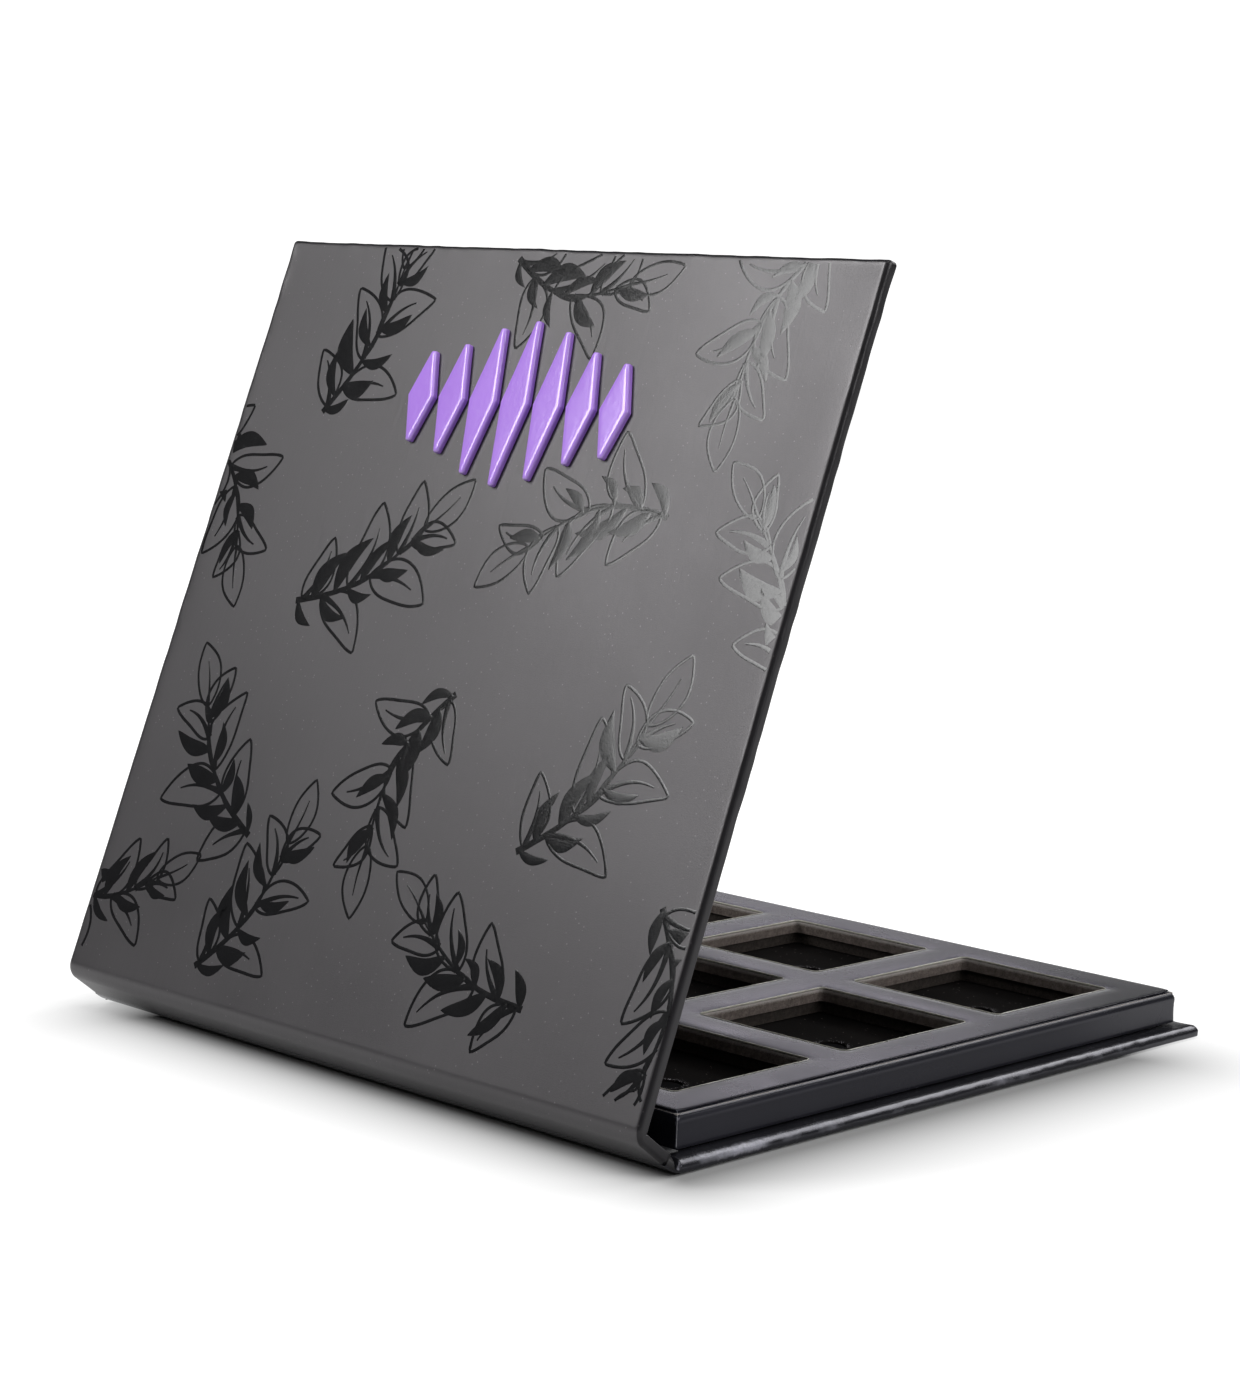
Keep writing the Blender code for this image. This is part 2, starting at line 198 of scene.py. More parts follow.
def build(name, grids, material, flip=False, solid=False, part_size=None):
    """A mesh object from grids (points in mm, edge value 0 to 1, ring). A solid's faces are
    turned outwards by the sign of its volume, and other skins by flip. Grids are joined where
    they meet, all of them or only within each part of part_size grids."""
    points, quads, values, parts, start = [], [], [], [], 0
    for index, (grid, value, ring) in enumerate(grids):
        rows, columns = grid.shape[:2]
        parts.append(np.full(rows * columns, index // (part_size or len(grids))))
        points.append(grid.reshape(-1, 3) * MM)
        values.append(np.broadcast_to(value, (rows, columns)).reshape(-1))
        quads.append(grid_quads(rows, columns, start, ring))
        start += rows * columns
    points, faces, values = weld(*map(np.concatenate, (points, quads, values, parts)))
    if solid:
        fan = np.array([t for f in faces for t in ((f[0], f[1], f[2]), (f[0], f[2], f[-1]))])
        a, b, c = (points[fan[:, i]] for i in range(3))
        flip = np.einsum("ij,ij->i", a, np.cross(b, c)).sum() < 0
    if flip:
        faces = [face[::-1] for face in faces]
    mesh = bpy.data.meshes.new(name)
    mesh.from_pydata(points.tolist(), [], faces)
    mesh.shade_smooth()
    mesh.set_sharp_from_angle(angle=SMOOTH_ANGLE)
    mesh.materials.append(material)
    keep_values(mesh, "edge", values)
    obj = bpy.data.objects.new(name, mesh)
    bpy.context.scene.collection.objects.link(obj)
    return obj


def keep_values(mesh, name, values):
    attribute = mesh.attributes.new(name, "FLOAT", "POINT")
    attribute.data.foreach_set("value", np.asarray(values, np.float32))


def keep_rest_place(obj):
    """Stores each point's place at rest, so that a pattern stays on paper that bends."""
    place = np.empty(len(obj.data.vertices) * 3, np.float32)
    obj.data.vertices.foreach_get("co", place)
    attribute = obj.data.attributes.new("rest_place", "FLOAT_VECTOR", "POINT")
    attribute.data.foreach_set("vector", place)


def ruffle(obj, height):
    """Moves each point along its normal by height(place in mm, edge value), in mm."""
    mesh = obj.data
    count = len(mesh.vertices)
    place, normal = np.empty(count * 3), np.empty(count * 3)
    value = np.empty(count, np.float32)
    mesh.vertices.foreach_get("co", place)
    mesh.vertex_normals.foreach_get("vector", normal)
    mesh.attributes["edge"].data.foreach_get("value", value)
    place, normal = place.reshape(-1, 3), normal.reshape(-1, 3)
    place = place + normal * (height(place / MM, value) * MM)[:, None]
    mesh.vertices.foreach_set("co", place.ravel())
    mesh.update()


# ---- node helpers ----


def plug(tree, socket, value):
    """Fills an input with a link from another node's output, or with a value."""
    if isinstance(value, bpy.types.NodeSocket):
        tree.links.new(value, socket)
    elif socket.type == "RGBA":
        socket.default_value = (*value, 1.0)
    else:
        socket.default_value = value


def add_node(tree, kind, inputs=(), **settings):
    """Adds a node with its settings, and fills its inputs by name or number."""
    node = tree.nodes.new(kind)
    for key, value in settings.items():
        setattr(node, key, value)
    for key, value in dict(inputs).items():
        plug(tree, node.inputs[key], value)
    return node


def calculate(tree, operation, first, second=0.0):
    return add_node(tree, "ShaderNodeMath", {0: first, 1: second}, operation=operation).outputs[0]


def multiply(tree, first, second):
    return calculate(tree, "MULTIPLY", first, second)


def remap(tree, value, span, low=0.0, high=1.0):
    """From low to high as a value crosses a span, and level outside it."""
    ends = {"From Min": span[0], "From Max": span[1], "To Min": low, "To Max": high}
    return add_node(tree, "ShaderNodeMapRange", {"Value": value, **ends}).outputs[0]


def stretch(tree, vector, scale):
    return add_node(tree, "ShaderNodeMapping", {"Vector": vector, "Scale": scale}).outputs[0]


def noise(tree, vector, scale, detail=2.0, roughness=0.5):
    inputs = {"Vector": vector, "Scale": scale, "Detail": detail, "Roughness": roughness}
    return add_node(tree, "ShaderNodeTexNoise", inputs).outputs["Fac"]


def mix_colour(tree, factor, first, second):
    inputs = {"Factor": factor, 6: first, 7: second}
    return add_node(tree, "ShaderNodeMix", inputs, data_type="RGBA").outputs[2]


def make_group(body, inputs):
    """A shader node group named as the function that fills it. That function is given the tree
    and the group's inputs, and gives the outputs by name."""
    tree = bpy.data.node_groups.new(body.__name__, "ShaderNodeTree")
    tree.interface.new_socket(name="Vector", in_out="INPUT", socket_type="NodeSocketVector")
    for label, value in inputs.items():
        socket = tree.interface.new_socket(
            name=label, in_out="INPUT", socket_type="NodeSocketFloat"
        )
        socket.default_value = value
    values = body(tree, tree.nodes.new("NodeGroupInput").outputs)
    for label in values:
        tree.interface.new_socket(name=label, in_out="OUTPUT", socket_type="NodeSocketFloat")
    ends = tree.nodes.new("NodeGroupOutput").inputs
    for label, value in values.items():
        tree.links.new(value, ends[label])


# ---- surface effects that several finishes share ----


def paper_grain(tree, inner):
    """Fine coated-paper grain, soft blotches, and streaks that run along the case's length."""
    place = inner["Vector"]
    return {
        "Grain": noise(tree, place, inner["Grain Scale"], 3.0, 0.6),
        "Streaks": noise(
            tree, stretch(tree, place, (1.0, 0.02, 0.02)), inner["Streak Scale"], 2.0, 0.6
        ),
        "Blotches": noise(tree, place, inner["Blotch Scale"], 3.0, 0.5),
    }


def specks(tree, inner):
    """Small separate specks: where a cell pattern's distance is short and its cell is chosen."""
    inputs = {"Vector": inner["Vector"], "Scale": inner["Scale"]}
    cells = add_node(tree, "ShaderNodeTexVoronoi", inputs).outputs
    near = calculate(tree, "LESS_THAN", cells["Distance"], inner["Size"])
    tone = add_node(tree, "ShaderNodeSeparateColor", {"Color": cells["Color"]}).outputs[0]
    return {"Mask": multiply(tree, near, calculate(tree, "LESS_THAN", tone, inner["Share"]))}


def worn_edge_and_shade_band(tree, inner):
    """The piece's edge value broken up by noise, as rubbed paper edges are, and the plain edge
    band, which the soft-touch finish uses for painted shade.
    """
    rough = noise(tree, inner["Vector"], inner["Scale"], 4.0, 0.65)
    shift = multiply(tree, calculate(tree, "SUBTRACT", rough, 0.5), inner["Spread"])
    reach = calculate(tree, "ADD", inner["Edge"], shift)
    band = remap(tree, inner["Edge"], (0.15, 0.9))
    return {"Mask": remap(tree, reach, (0.55, 0.95)), "Band": band}


def board_fibres(tree, inner):
    """Cut greyboard: thin level plies, soft mottling with fibres, and a pale frayed rim from
    the given height upwards."""
    place, scale = inner["Vector"], inner["Scale"]
    mottle = noise(tree, place, scale, 3.0, 0.6)
    fuzz = noise(tree, place, multiply(tree, scale, 4.0), 3.0, 0.7)
    height = add_node(tree, "ShaderNodeSeparateXYZ", {0: place}).outputs["Z"]
    frayed = multiply(tree, calculate(tree, "SUBTRACT", fuzz, 0.5), 0.0009)
    height = calculate(tree, "ADD", height, frayed)
    above = calculate(tree, "SUBTRACT", height, inner["Rim Height"])
    return {
        "Tone": multiply(tree, calculate(tree, "ADD", mottle, fuzz), 0.5),
        "Plies": noise(tree, stretch(tree, place, (0.05, 0.05, 1.0)), scale),
        "Rim": remap(tree, above, (-0.0003, 0.0002)),
    }


# Each effect with its inputs besides the place, in metres and in features per metre
EFFECTS = [
    (paper_grain, {"Grain Scale": 5000.0, "Streak Scale": 1800.0, "Blotch Scale": 40.0}),
    (specks, {"Scale": 900.0, "Size": 0.12, "Share": 0.3}),
    (worn_edge_and_shade_band, {"Edge": 0.0, "Scale": 900.0, "Spread": 0.5}),
    (board_fibres, {"Scale": 1500.0, "Rim Height": 0.0067}),
]


# ---- finishes ----


def scaled(values, factor):
    return tuple(value * factor for value in values)


class Finish:
    """A material in the making: a Principled shader whose plain numbers are set, a place to
    read patterns at, and a base colour that is laid on in coats."""

    def __init__(self, name, roughness, specular, bends=False, **constants):
        self.material = bpy.data.materials.new(name)
        self.material.use_nodes = True
        self.tree = self.material.node_tree
        self.sockets = self.tree.nodes["Principled BSDF"].inputs
        constants = {"Roughness": roughness, "Specular IOR Level": specular, **constants}
        for label, value in constants.items():
            plug(self.tree, self.sockets[label.replace("_", " ")], value)
        if bends:
            self.place = self.attribute("rest_place", "Vector")
        else:
            self.place = add_node(self.tree, "ShaderNodeTexCoord").outputs["Object"]

    def attribute(self, name, output="Fac"):
        return add_node(self.tree, "ShaderNodeAttribute", attribute_name=name).outputs[output]

    def effect(self, name, **inputs):
        """A shared effect's outputs, read at the place."""
        inputs = {label.replace("_", " "): value for label, value in inputs.items()}
        inputs["Vector"] = self.place
        group = bpy.data.node_groups[name]
        return add_node(self.tree, "ShaderNodeGroup", inputs, node_tree=group).outputs

    def spread(self, value, low, high, span=NOISE_SPAN):
        return remap(self.tree, value, span, low, high)

    def mottle(self, value, first, second, span=NOISE_SPAN):
        """The first coat: one colour turning into another as a noise rises."""
        self.base = mix_colour(self.tree, self.spread(value, 0.0, 1.0, span), first, second)

    def coat(self, colour, mask, share=None):
        """Lays a colour on by a mask, times a share if one is given."""
        if share is not None:
            mask = multiply(self.tree, mask, share)
        self.base = mix_colour(self.tree, mask, self.base, colour)

    def link(self, label, value):
        self.tree.links.new(value, self.sockets[label])

    def done(self, height, strength, depth, roughness=None):
        """Links the colour, a relief whose depth is in metres, and a roughness if it varies."""
        inputs = {"Height": height, "Strength": strength, "Distance": depth}
        bump = add_node(self.tree, "ShaderNodeBump", inputs)
        self.link("Normal", bump.outputs["Normal"])
        self.link("Base Color", self.base)
        if roughness is not None:
            self.link("Roughness", roughness)
        return self.material


def soft_touch_finish(name, colour, roughness, specular):
    """Matt charcoal lacquer on paper: fine grain, faint streaks, pale specks, rubbed edges, and
    painted shade that darkens the turned edges and sides.
    """
    made = Finish(name, roughness, specular, True, Specular_Tint=(1.0, 0.965, 0.99))
    tree, paper = made.tree, made.effect("paper_grain")
    dots = made.effect("specks", Scale=1000.0, Size=0.11, Share=0.55)
    worn = made.effect("worn_edge_and_shade_band", Edge=made.attribute("edge"))
    made.mottle(paper["Streaks"], scaled(colour, 0.80), scaled(colour, 1.22), (0.25, 0.75))
    made.coat((0.22, 0.20, 0.21), dots["Mask"], 0.3)
    # Painted shade: the edge band is darkened towards near black, so that the turned edges and
    # sides read dark.
    made.coat((0.005, 0.005, 0.006), worn["Band"], 0.75)
    made.coat((0.20, 0.19, 0.21), worn["Mask"], 0.03)
    rough = made.spread(paper["Blotches"], roughness - 0.03, roughness + 0.03)
    rough = calculate(tree, "SUBTRACT", rough, multiply(tree, worn["Band"], roughness - 0.3))
    height = calculate(tree, "ADD", paper["Grain"], multiply(tree, paper["Streaks"], 0.8))
    return made.done(height, 0.35, 0.00004, rough)


def satin_paper_finish(name, colour, edge_colour, roughness, specular, bends=False):
    """Near-black satin paper, its cut edges rubbed paler, and on paper that bends only here
    and there. On the tray's band only the corners get the paler edge colour, as a painted
    highlight."""
    made = Finish(name, roughness, specular, bends, Specular_Tint=(0.88, 0.87, 1.0))
    paper = made.effect("paper_grain", Grain_Scale=1500.0, Blotch_Scale=70.0)
    dots = made.effect("specks", Scale=260.0, Size=0.05, Share=0.3)
    worn = made.effect("worn_edge_and_shade_band", Edge=made.attribute("edge"), Scale=1400.0, Spread=0.7)
    made.mottle(paper["Blotches"], colour, scaled(colour, 1.3))
    made.coat((0.30, 0.30, 0.32), dots["Mask"], 0.5)
    share = made.spread(paper["Blotches"], 0.0, 1.0, (0.55, 0.68)) if bends else None
    made.coat(edge_colour, worn["Mask"], share)
    rough = made.spread(paper["Blotches"], roughness - 0.04, roughness + 0.05)
    return made.done(paper["Grain"], 0.05, 0.00004, rough)


def greyboard_finish(name, dark, light):
    """Raw grey-brown board, darker in its plies and pale where its upper rim is frayed."""
    made = Finish(name, 0.92, 0.15)
    board = made.effect("board_fibres")
    made.mottle(board["Tone"], dark, light, (0.36, 0.64))
    made.coat(dark, made.spread(board["Plies"], 0.0, 0.35, (0.5, 0.75)))
    made.coat((0.42, 0.39, 0.37), board["Rim"], 0.75)
    return made.done(board["Tone"], 0.9, 0.00022)


def black_card_finish():
    """Dark card of the well floors, faintly mottled, with pale dust thickest round the holes."""
    made = Finish("floor_card", 0.85, 0.05)
    paper = made.effect("paper_grain", Grain_Scale=3000.0, Blotch_Scale=120.0)
    dust = made.effect("specks", Scale=1500.0, Size=0.16, Share=0.10)
    ring = made.effect("worn_edge_and_shade_band", Edge=made.attribute("edge"), Scale=5000.0, Spread=1.1)
    dots = made.effect("specks", Scale=3500.0, Size=0.30, Share=0.8)
    made.mottle(paper["Blotches"], (0.0022, 0.0018, 0.0018), (0.0048, 0.0040, 0.0038))
    made.coat((0.22, 0.19, 0.18), dust["Mask"], 0.5)
    made.coat((0.42, 0.40, 0.42), ring["Mask"], dots["Mask"])
    return made.done(paper["Grain"], 0.5, 0.00006, made.spread(paper["Grain"], 0.8, 0.9))


def liner_finish():
    """Plain black inner paper with a visible felt-like fibre."""
    made = Finish("inner_liner", 0.6, 0.35, True)
    paper = made.effect("paper_grain", Grain_Scale=2600.0, Blotch_Scale=60.0)
    dots = made.effect("specks", Scale=320.0, Size=0.06, Share=0.2)
    made.mottle(paper["Grain"], (0.012, 0.012, 0.013), (0.024, 0.024, 0.026))
    made.coat((0.16, 0.16, 0.17), dots["Mask"], 0.4)
    return made.done(paper["Grain"], 0.5, 0.00006, made.spread(paper["Blotches"], 0.55, 0.66))


def gloss_print_finish():
    """Raised gloss varnish, near black, with the slight unevenness of a screened layer."""
    made = Finish("gloss_print", 0.16, 0.33)
    paper = made.effect("paper_grain", Grain_Scale=3500.0, Blotch_Scale=300.0)
    made.mottle(paper["Blotches"], (0.003, 0.003, 0.0036), (0.0055, 0.0055, 0.0065))
    return made.done(paper["Grain"], 0.2, 0.00004, made.spread(paper["Grain"], 0.12, 0.20))


def gel_finish():
    """Violet gel: an even body colour with a lighter lavender painted highlight along the rounded
    rim, under a clear coat.
    """
    coat = {"Coat_Weight": 0.5, "Coat_Roughness": 0.08, "Coat_IOR": 1.45}
    made = Finish("raised_gel", 0.2, 0.4, **coat)
    paper = made.effect("paper_grain", Grain_Scale=1500.0, Blotch_Scale=90.0)
    made.mottle(paper["Blotches"], (0.420, 0.210, 0.790), (0.445, 0.225, 0.830))
    # Painted highlight: the rounded rim is laid paler lavender.
    made.coat((0.580, 0.380, 0.900), made.attribute("edge"), 0.4)
    return made.done(paper["Grain"], 0.3, 0.00006, made.spread(paper["Grain"], 0.14, 0.22))


def metal_finish(name, colour, roughness, metallic, specular):
    """Plated or sintered magnet with fine turning marks and dull spots."""
    made = Finish(name, roughness, specular, Metallic=metallic)
    paper = made.effect("paper_grain", Grain_Scale=4000.0, Blotch_Scale=500.0)
    made.mottle(paper["Blotches"], scaled(colour, 0.7), colour)
    rough = made.spread(paper["Grain"], roughness, roughness + 0.15)
    return made.done(paper["Grain"], 0.3, 0.00003, rough)


# ---- case papers ----


class Fold:
    """The outer face's path in the (y, z) plane: a straight lead, an arc at the fold, a panel.

    The path starts `lead` mm before the fold line. The arc is tangent to both panels, `reach`
    mm from the fold line. `ahead` is the direction of travel and `inward` points to the
    case's inner side.
    """

    def __init__(self, fold_line, ahead, inward, bend, pinch, lead, rounding):
        self.line, self.ahead, self.inward = map(np.array, (fold_line, ahead, inward))
        self.bend, self.pinch, self.rounding = bend, pinch, rounding
        self.radius = FOLD_REACH / math.tan(bend / 2)
        self.arc_start = lead - FOLD_REACH
        self.ease_in = self.arc_start - min(0.9, self.arc_start / 2)
        self.arc_end = self.arc_start + self.radius * bend
        self.end = self.arc_end + PANEL_LENGTH - FOLD_REACH
        self.hub = self.line - FOLD_REACH * self.ahead + self.radius * self.inward

    def place(self, x, s, depth):
        """Points at x across, s along the path and depth inwards from the outer face."""
        turn = np.clip((s - self.arc_start) / self.radius, 0, self.bend)
        sine, cosine = np.sin(turn)[..., None], np.cos(turn)[..., None]
        forward = cosine * self.ahead + sine * self.inward
        normal = cosine * self.inward - sine * self.ahead
        spare = s - np.clip(s, self.arc_start, self.arc_end)
        flat = self.hub - self.radius * normal + spare[..., None] * forward
        flat = flat + depth[..., None] * normal
        return np.concatenate([np.broadcast_to(x, s.shape)[..., None], flat], axis=-1)

    def height(self, s):
        """The case's thickness: a board's, with a notch at the fold where the paper is pinched.
        The notch's sides rise as a quarter sine from its middle."""
        off = np.abs(s - (self.arc_start + self.arc_end) / 2)
        rise = np.sin(np.clip(off / PINCH_REACH, 0, 1) * math.pi / 2)
        return self.pinch + (BOARD_HEIGHT - self.pinch) * rise

    def point(self, distance):
        """The point on the outer face's straight line that far past the fold line, in metres."""
        turned = math.cos(self.bend) * self.ahead + math.sin(self.bend) * self.inward
        direction = self.ahead if distance < 0 else turned
        y, z = self.line + distance * direction
        return (0, y * MM, z * MM)


ALONG_SPINE = np.array((math.cos(SPINE_ANGLE), math.sin(SPINE_ANGLE)))
INTO_SPINE = np.array((-math.sin(SPINE_ANGLE), math.cos(SPINE_ANGLE)))
LOWER_FOLD = Fold(
    (FOLD_Y, 0), -ALONG_SPINE, INTO_SPINE, SPINE_ANGLE, LOWER_PINCH, BASE_LEAD, BASE_ROUNDING
)
UPPER_LINE = np.array((FOLD_Y, 0)) + SPINE_LENGTH * ALONG_SPINE
UPPER_FOLD = Fold(
    UPPER_LINE, ALONG_SPINE, INTO_SPINE, LID_BEND, UPPER_PINCH, LID_LEAD, LID_ROUNDING
)


def rim_section(height, rounding):
    """The paper's section round an edge, as inset and depth for each board height.

    It comes along the outer face, turns a quarter ellipse, goes up the side, turns the last
    part of another ellipse, from the crease's angle on, and runs in over the inner face. Each
    ellipse is given by its inset and its depth. Also gives how much of an edge each point is.
    """
    (outer_in, outer_down), (inner_in, inner_down), crease = rounding
    side_edge = 0.4 if crease else 1.0
    outer = np.minimum(outer_down, height / 2)
    inner = np.minimum(inner_down, height - outer)
    none = 0 * height
    rows = [(inset + none, none, edge) for inset, edge in ((3.0, 0.0), (2.0, 0.05), (1.2, 0.25))]
    for a in np.linspace(0, math.pi / 2, 6):
        value = side_edge * (0.5 + 0.5 * math.sin(a))
        rows.append((none + outer_in * (1 - math.sin(a)), outer * (1 - math.cos(a)), value))
    for share in np.linspace(0, 1, 10):
        a = crease + share * (math.pi / 2 - crease)
        across = inner_in * (1 - math.cos(a) / math.cos(crease))
        down = inner * (1 - math.sin(a)) / (1 - math.sin(crease))
        rows.append((none + across, height - down, 1.0 - 0.5 * share if crease else 1.0))
    for inset in (1.4, 2.2, 3.2, 6.0, 9.0, TURN_IN):
        if inset > inner_in:
            rows.append((inset + none, height, 0.4 if inset < 2 else 0.0))
    inset, depth, edge = zip(*rows)
    return np.array(inset), np.array(depth), np.array(edge)


def cover_grids(fold):
    """The outer paper: a face grid, and a rim carried round both sides and the free edge.

    Along the rim the path is the panel's outline drawn in by each row's inset: straight
    sides, corners whose radius shrinks to nothing with the inset, and the free edge.
    """
    near_end, near_side = fold.end - RIM_ZONE, HALF_WIDTH - RIM_ZONE
    fixed = joined_steps(
        (0, fold.ease_in, 6),
        (fold.ease_in, fold.arc_end + 0.6, 28),
        (fold.arc_end + 0.6, fold.arc_end + 2.0, 3),
        (fold.arc_end + 2.0, near_end, 135),
    )
    middle = np.linspace(-near_side, near_side, 126)
    eased = np.linspace(0, 1, 17)[1:]

    def steps(inner, drawn_in, mirrored=False):
        """Places along an edge, a row for each inset: the rim zone shrinks with it."""
        tail = inner[-1] + eased * (RIM_ZONE - drawn_in)[:, None]
        core = np.broadcast_to(inner, (len(drawn_in), len(inner)))
        return np.concatenate([-tail[:, ::-1], core, tail] if mirrored else [core, tail], axis=1)

    side_s = steps(fixed, np.array([CORNER_RADIUS]))[0]
    side_inset, side_depth, edge = rim_section(fold.height(side_s), fold.rounding)
    end_inset, end_depth, _ = rim_section(np.array([BOARD_HEIGHT]), fold.rounding)
    drawn_in = np.maximum(CORNER_RADIUS, end_inset[:, 0])
    shrunk = steps(fixed, drawn_in)
    side_x = HALF_WIDTH - side_inset
    left = fold.place(-side_x, shrunk, side_depth)
    right = fold.place(side_x, shrunk, side_depth)[:, ::-1]

    turn = np.linspace(0, math.pi / 2, 9)
    small = np.maximum(CORNER_RADIUS - end_inset, 0)
    corner_x = (HALF_WIDTH - drawn_in)[:, None] + small * np.cos(turn)
    corner_s = (fold.end - drawn_in)[:, None] + small * np.sin(turn)
    corner_depth = np.broadcast_to(end_depth, corner_s.shape)
    left_corner = fold.place(-corner_x, corner_s, corner_depth)
    right_corner = fold.place(corner_x, corner_s, corner_depth)[:, ::-1]

    end_x = steps(middle, drawn_in, mirrored=True)
    end_s = np.broadcast_to(fold.end - end_inset, end_x.shape)
    free = fold.place(end_x, end_s, np.broadcast_to(end_depth, end_x.shape))
    edge = edge[:, None]
    rim = [(part, edge, False) for part in (left, left_corner, free, right_corner, right)]

    face_s, face_x = np.meshgrid(shrunk[0], end_x[0], indexing="ij")
    face = fold.place(face_x, face_s, 0 * face_s)
    return [(face, 0.0, False), *rim]


def cover_relief(place, edge, fold):
    """Height of the glued paper over its board: lumps along the turned edges, stronger on the
    base, broad waves on the faces, and a bulge at each free corner, where the paper is folded
    on itself."""
    share = 0.3 + 0.7 * smooth_step(FOLD_Y - 4.0 - place[..., 1], 0, 8.0)
    fine, coarse = ripple(place, 2.6, CASE_SEED), ripple(place, 6.5, CASE_SEED + 1)
    lumps = share * (fine * 0.028 + coarse * 0.034)
    waves = ripple(place, 45.0, CASE_SEED + 2) * 0.035
    bulge = 0
    for x in (0.6 - HALF_WIDTH, HALF_WIDTH - 0.6):
        corner = fold.place(np.array(x), np.array(fold.end - 1.2), np.array(1.1))
        bulge = bulge + np.exp(-((place - corner) ** 2).sum(-1) / 4.5)
    folded = 0.15 if fold is UPPER_FOLD else 0.12
    return edge * (lumps - EDGE_SINK) + waves * (1 - edge) + folded * bulge * edge - SINK


def finish_rim(piece, finish, chosen):
    """Gives a second finish to each face whose mean place and edge value are chosen."""
    mesh = piece.data
    corners = np.empty(len(mesh.loops), np.int32)
    starts = np.empty(len(mesh.polygons), np.int32)
    place, edge = np.empty(len(mesh.vertices) * 3), np.empty(len(mesh.vertices), np.float32)
    mesh.loops.foreach_get("vertex_index", corners)
    mesh.polygons.foreach_get("loop_start", starts)
    mesh.vertices.foreach_get("co", place)
    mesh.attributes["edge"].data.foreach_get("value", edge)
    sides = np.diff(np.append(starts, len(corners)))[:, None]
    values = np.concatenate([place.reshape(-1, 3) / MM, edge[:, None]], axis=1)
    middle = np.add.reduceat(values[corners], starts) / sides
    slots = chosen(middle[:, :3], middle[:, 3]).astype(np.int32)
    mesh.materials.append(finish)
    mesh.polygons.foreach_set("material_index", slots)


def make_bendable(piece, fold, nodes):
    """Gives a skin its paper thickness on its inner side, keeps its place at rest for its patterns,
    and hides the imported nodes that it stands for.
    """
    keep_rest_place(piece)
    solidify = piece.modifiers.new("paper", "SOLIDIFY")
    solidify.thickness, solidify.offset = PAPER * MM, -1.0
    fold.point(-BLEND_REACH)
    fold.point(BLEND_REACH)
    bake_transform(piece)
    if nodes:
        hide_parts(*nodes)


def make_cover_paper(name, fold, finish, rim_finish, nodes):
    """A cover's outer paper. The lid's rim, and the base's rim behind its fold line, have the
    rim finish."""
    piece = build(name, cover_grids(fold), finish, flip=fold is UPPER_FOLD)
    behind, least = (-200.0, 0.7) if fold is UPPER_FOLD else (FOLD_Y - 0.3, 0.45)
    finish_rim(piece, rim_finish, lambda place, edge: (edge > least) & (place[:, 1] > behind))
    ruffle(piece, lambda place, edge: cover_relief(place, edge, fold))
    make_bendable(piece, fold, nodes)


def make_liner(name, fold, end, finish, nodes, seed):
    """The inner paper: a sheet that follows the case's thickness, its face above that by the
    glue's gap and its own thickness."""
    near, far = fold.arc_end + 0.4, fold.arc_end + 1.0
    steps = joined_steps((0, fold.ease_in, 6), (fold.ease_in, near, 28), (near, far, 3))
    rest = end - steps[-1]
    rest = np.linspace(0, rest, max(3, int(rest / 2.0)))[1:]
    side = HALF_WIDTH - LINER_MARGIN
    x, s = np.meshgrid(np.linspace(-side, side, 61), np.concatenate([steps, steps[-1] + rest]))
    over = fold.height(s) + PAPER + GLUE
    edge = smooth_step(np.abs(x), side - 0.5, side)
    piece = build(name, [(fold.place(x, s, over), edge, False)], finish, flip=fold is LOWER_FOLD)
    ruffle(piece, lambda place, value: ripple(place, 30.0, seed) * 0.02)
    make_bendable(piece, fold, nodes)


# ---- tray papers and floor ----


def settle(piece, body, node):
    """Fixes a piece to a body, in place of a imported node."""
    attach(piece, body)
    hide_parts(node)


def four_quarters(quarter):
    """A quarter of an outline followed by its three turns by right angles."""
    quarters = [quarter]
    for _ in range(3):
        x, y = quarters[-1].T
        quarters.append(np.stack([-y, x], -1))
    return np.concatenate(quarters)


def square_loop(half, corner, side_count=70, corner_count=9):
    """A rounded square's outline, anticlockwise: four sides, each followed by its corner arc.
    A corner arc has a point at its middle, so that it can be drawn out to a sharp corner."""
    straight = np.linspace(-(half - corner), half - corner, side_count)
    turn = np.linspace(0, math.pi / 2, corner_count)[1:-1]
    side = np.stack([np.full_like(straight, half), straight], -1)
    arc = half - corner + corner * np.stack([np.cos(turn), np.sin(turn)], -1)
    return four_quarters(np.concatenate([side, arc]))


def round_loop(radius, count=64):
    turn = np.arange(count) / count * 2 * math.pi
    return radius * np.stack([np.cos(turn), np.sin(turn)], -1)


def cell_edge(loop):
    """Each point moved straight out from the middle to the square cell's edge."""
    return loop * (WELL_PITCH / 2 / np.abs(loop).max(1))[:, None]


def at_height(loop, z):
    return np.concatenate([loop, np.full((len(loop), 1), z)], axis=1)


def block_outline(loop):
    """The outline of the nine cells together, through every point that a cell puts on it."""
    edge = cell_edge(loop)
    side = edge[np.abs(edge[:, 0] - WELL_PITCH / 2) < 1e-9]
    side = side[np.argsort(side[:, 1])]
    side = np.concatenate([side + (0, y * WELL_PITCH) for y in (-1, 0, 1)])
    side[:, 0] = 1.5 * WELL_PITCH
    return four_quarters(side)


def drawn_outline(outline, half, corner):
    """An outline scaled out to a square of that half width, its corners rounded."""
    grown = outline * (half / np.abs(outline).max())
    core = np.clip(grown, -(half - corner), half - corner)
    off = grown - core
    length = np.linalg.norm(off, axis=1)
    both = (np.abs(off) > 1e-9).all(1)
    scale = np.where(both, corner / np.maximum(length, 1e-9), 1.0)
    return core + off * scale[:, None]


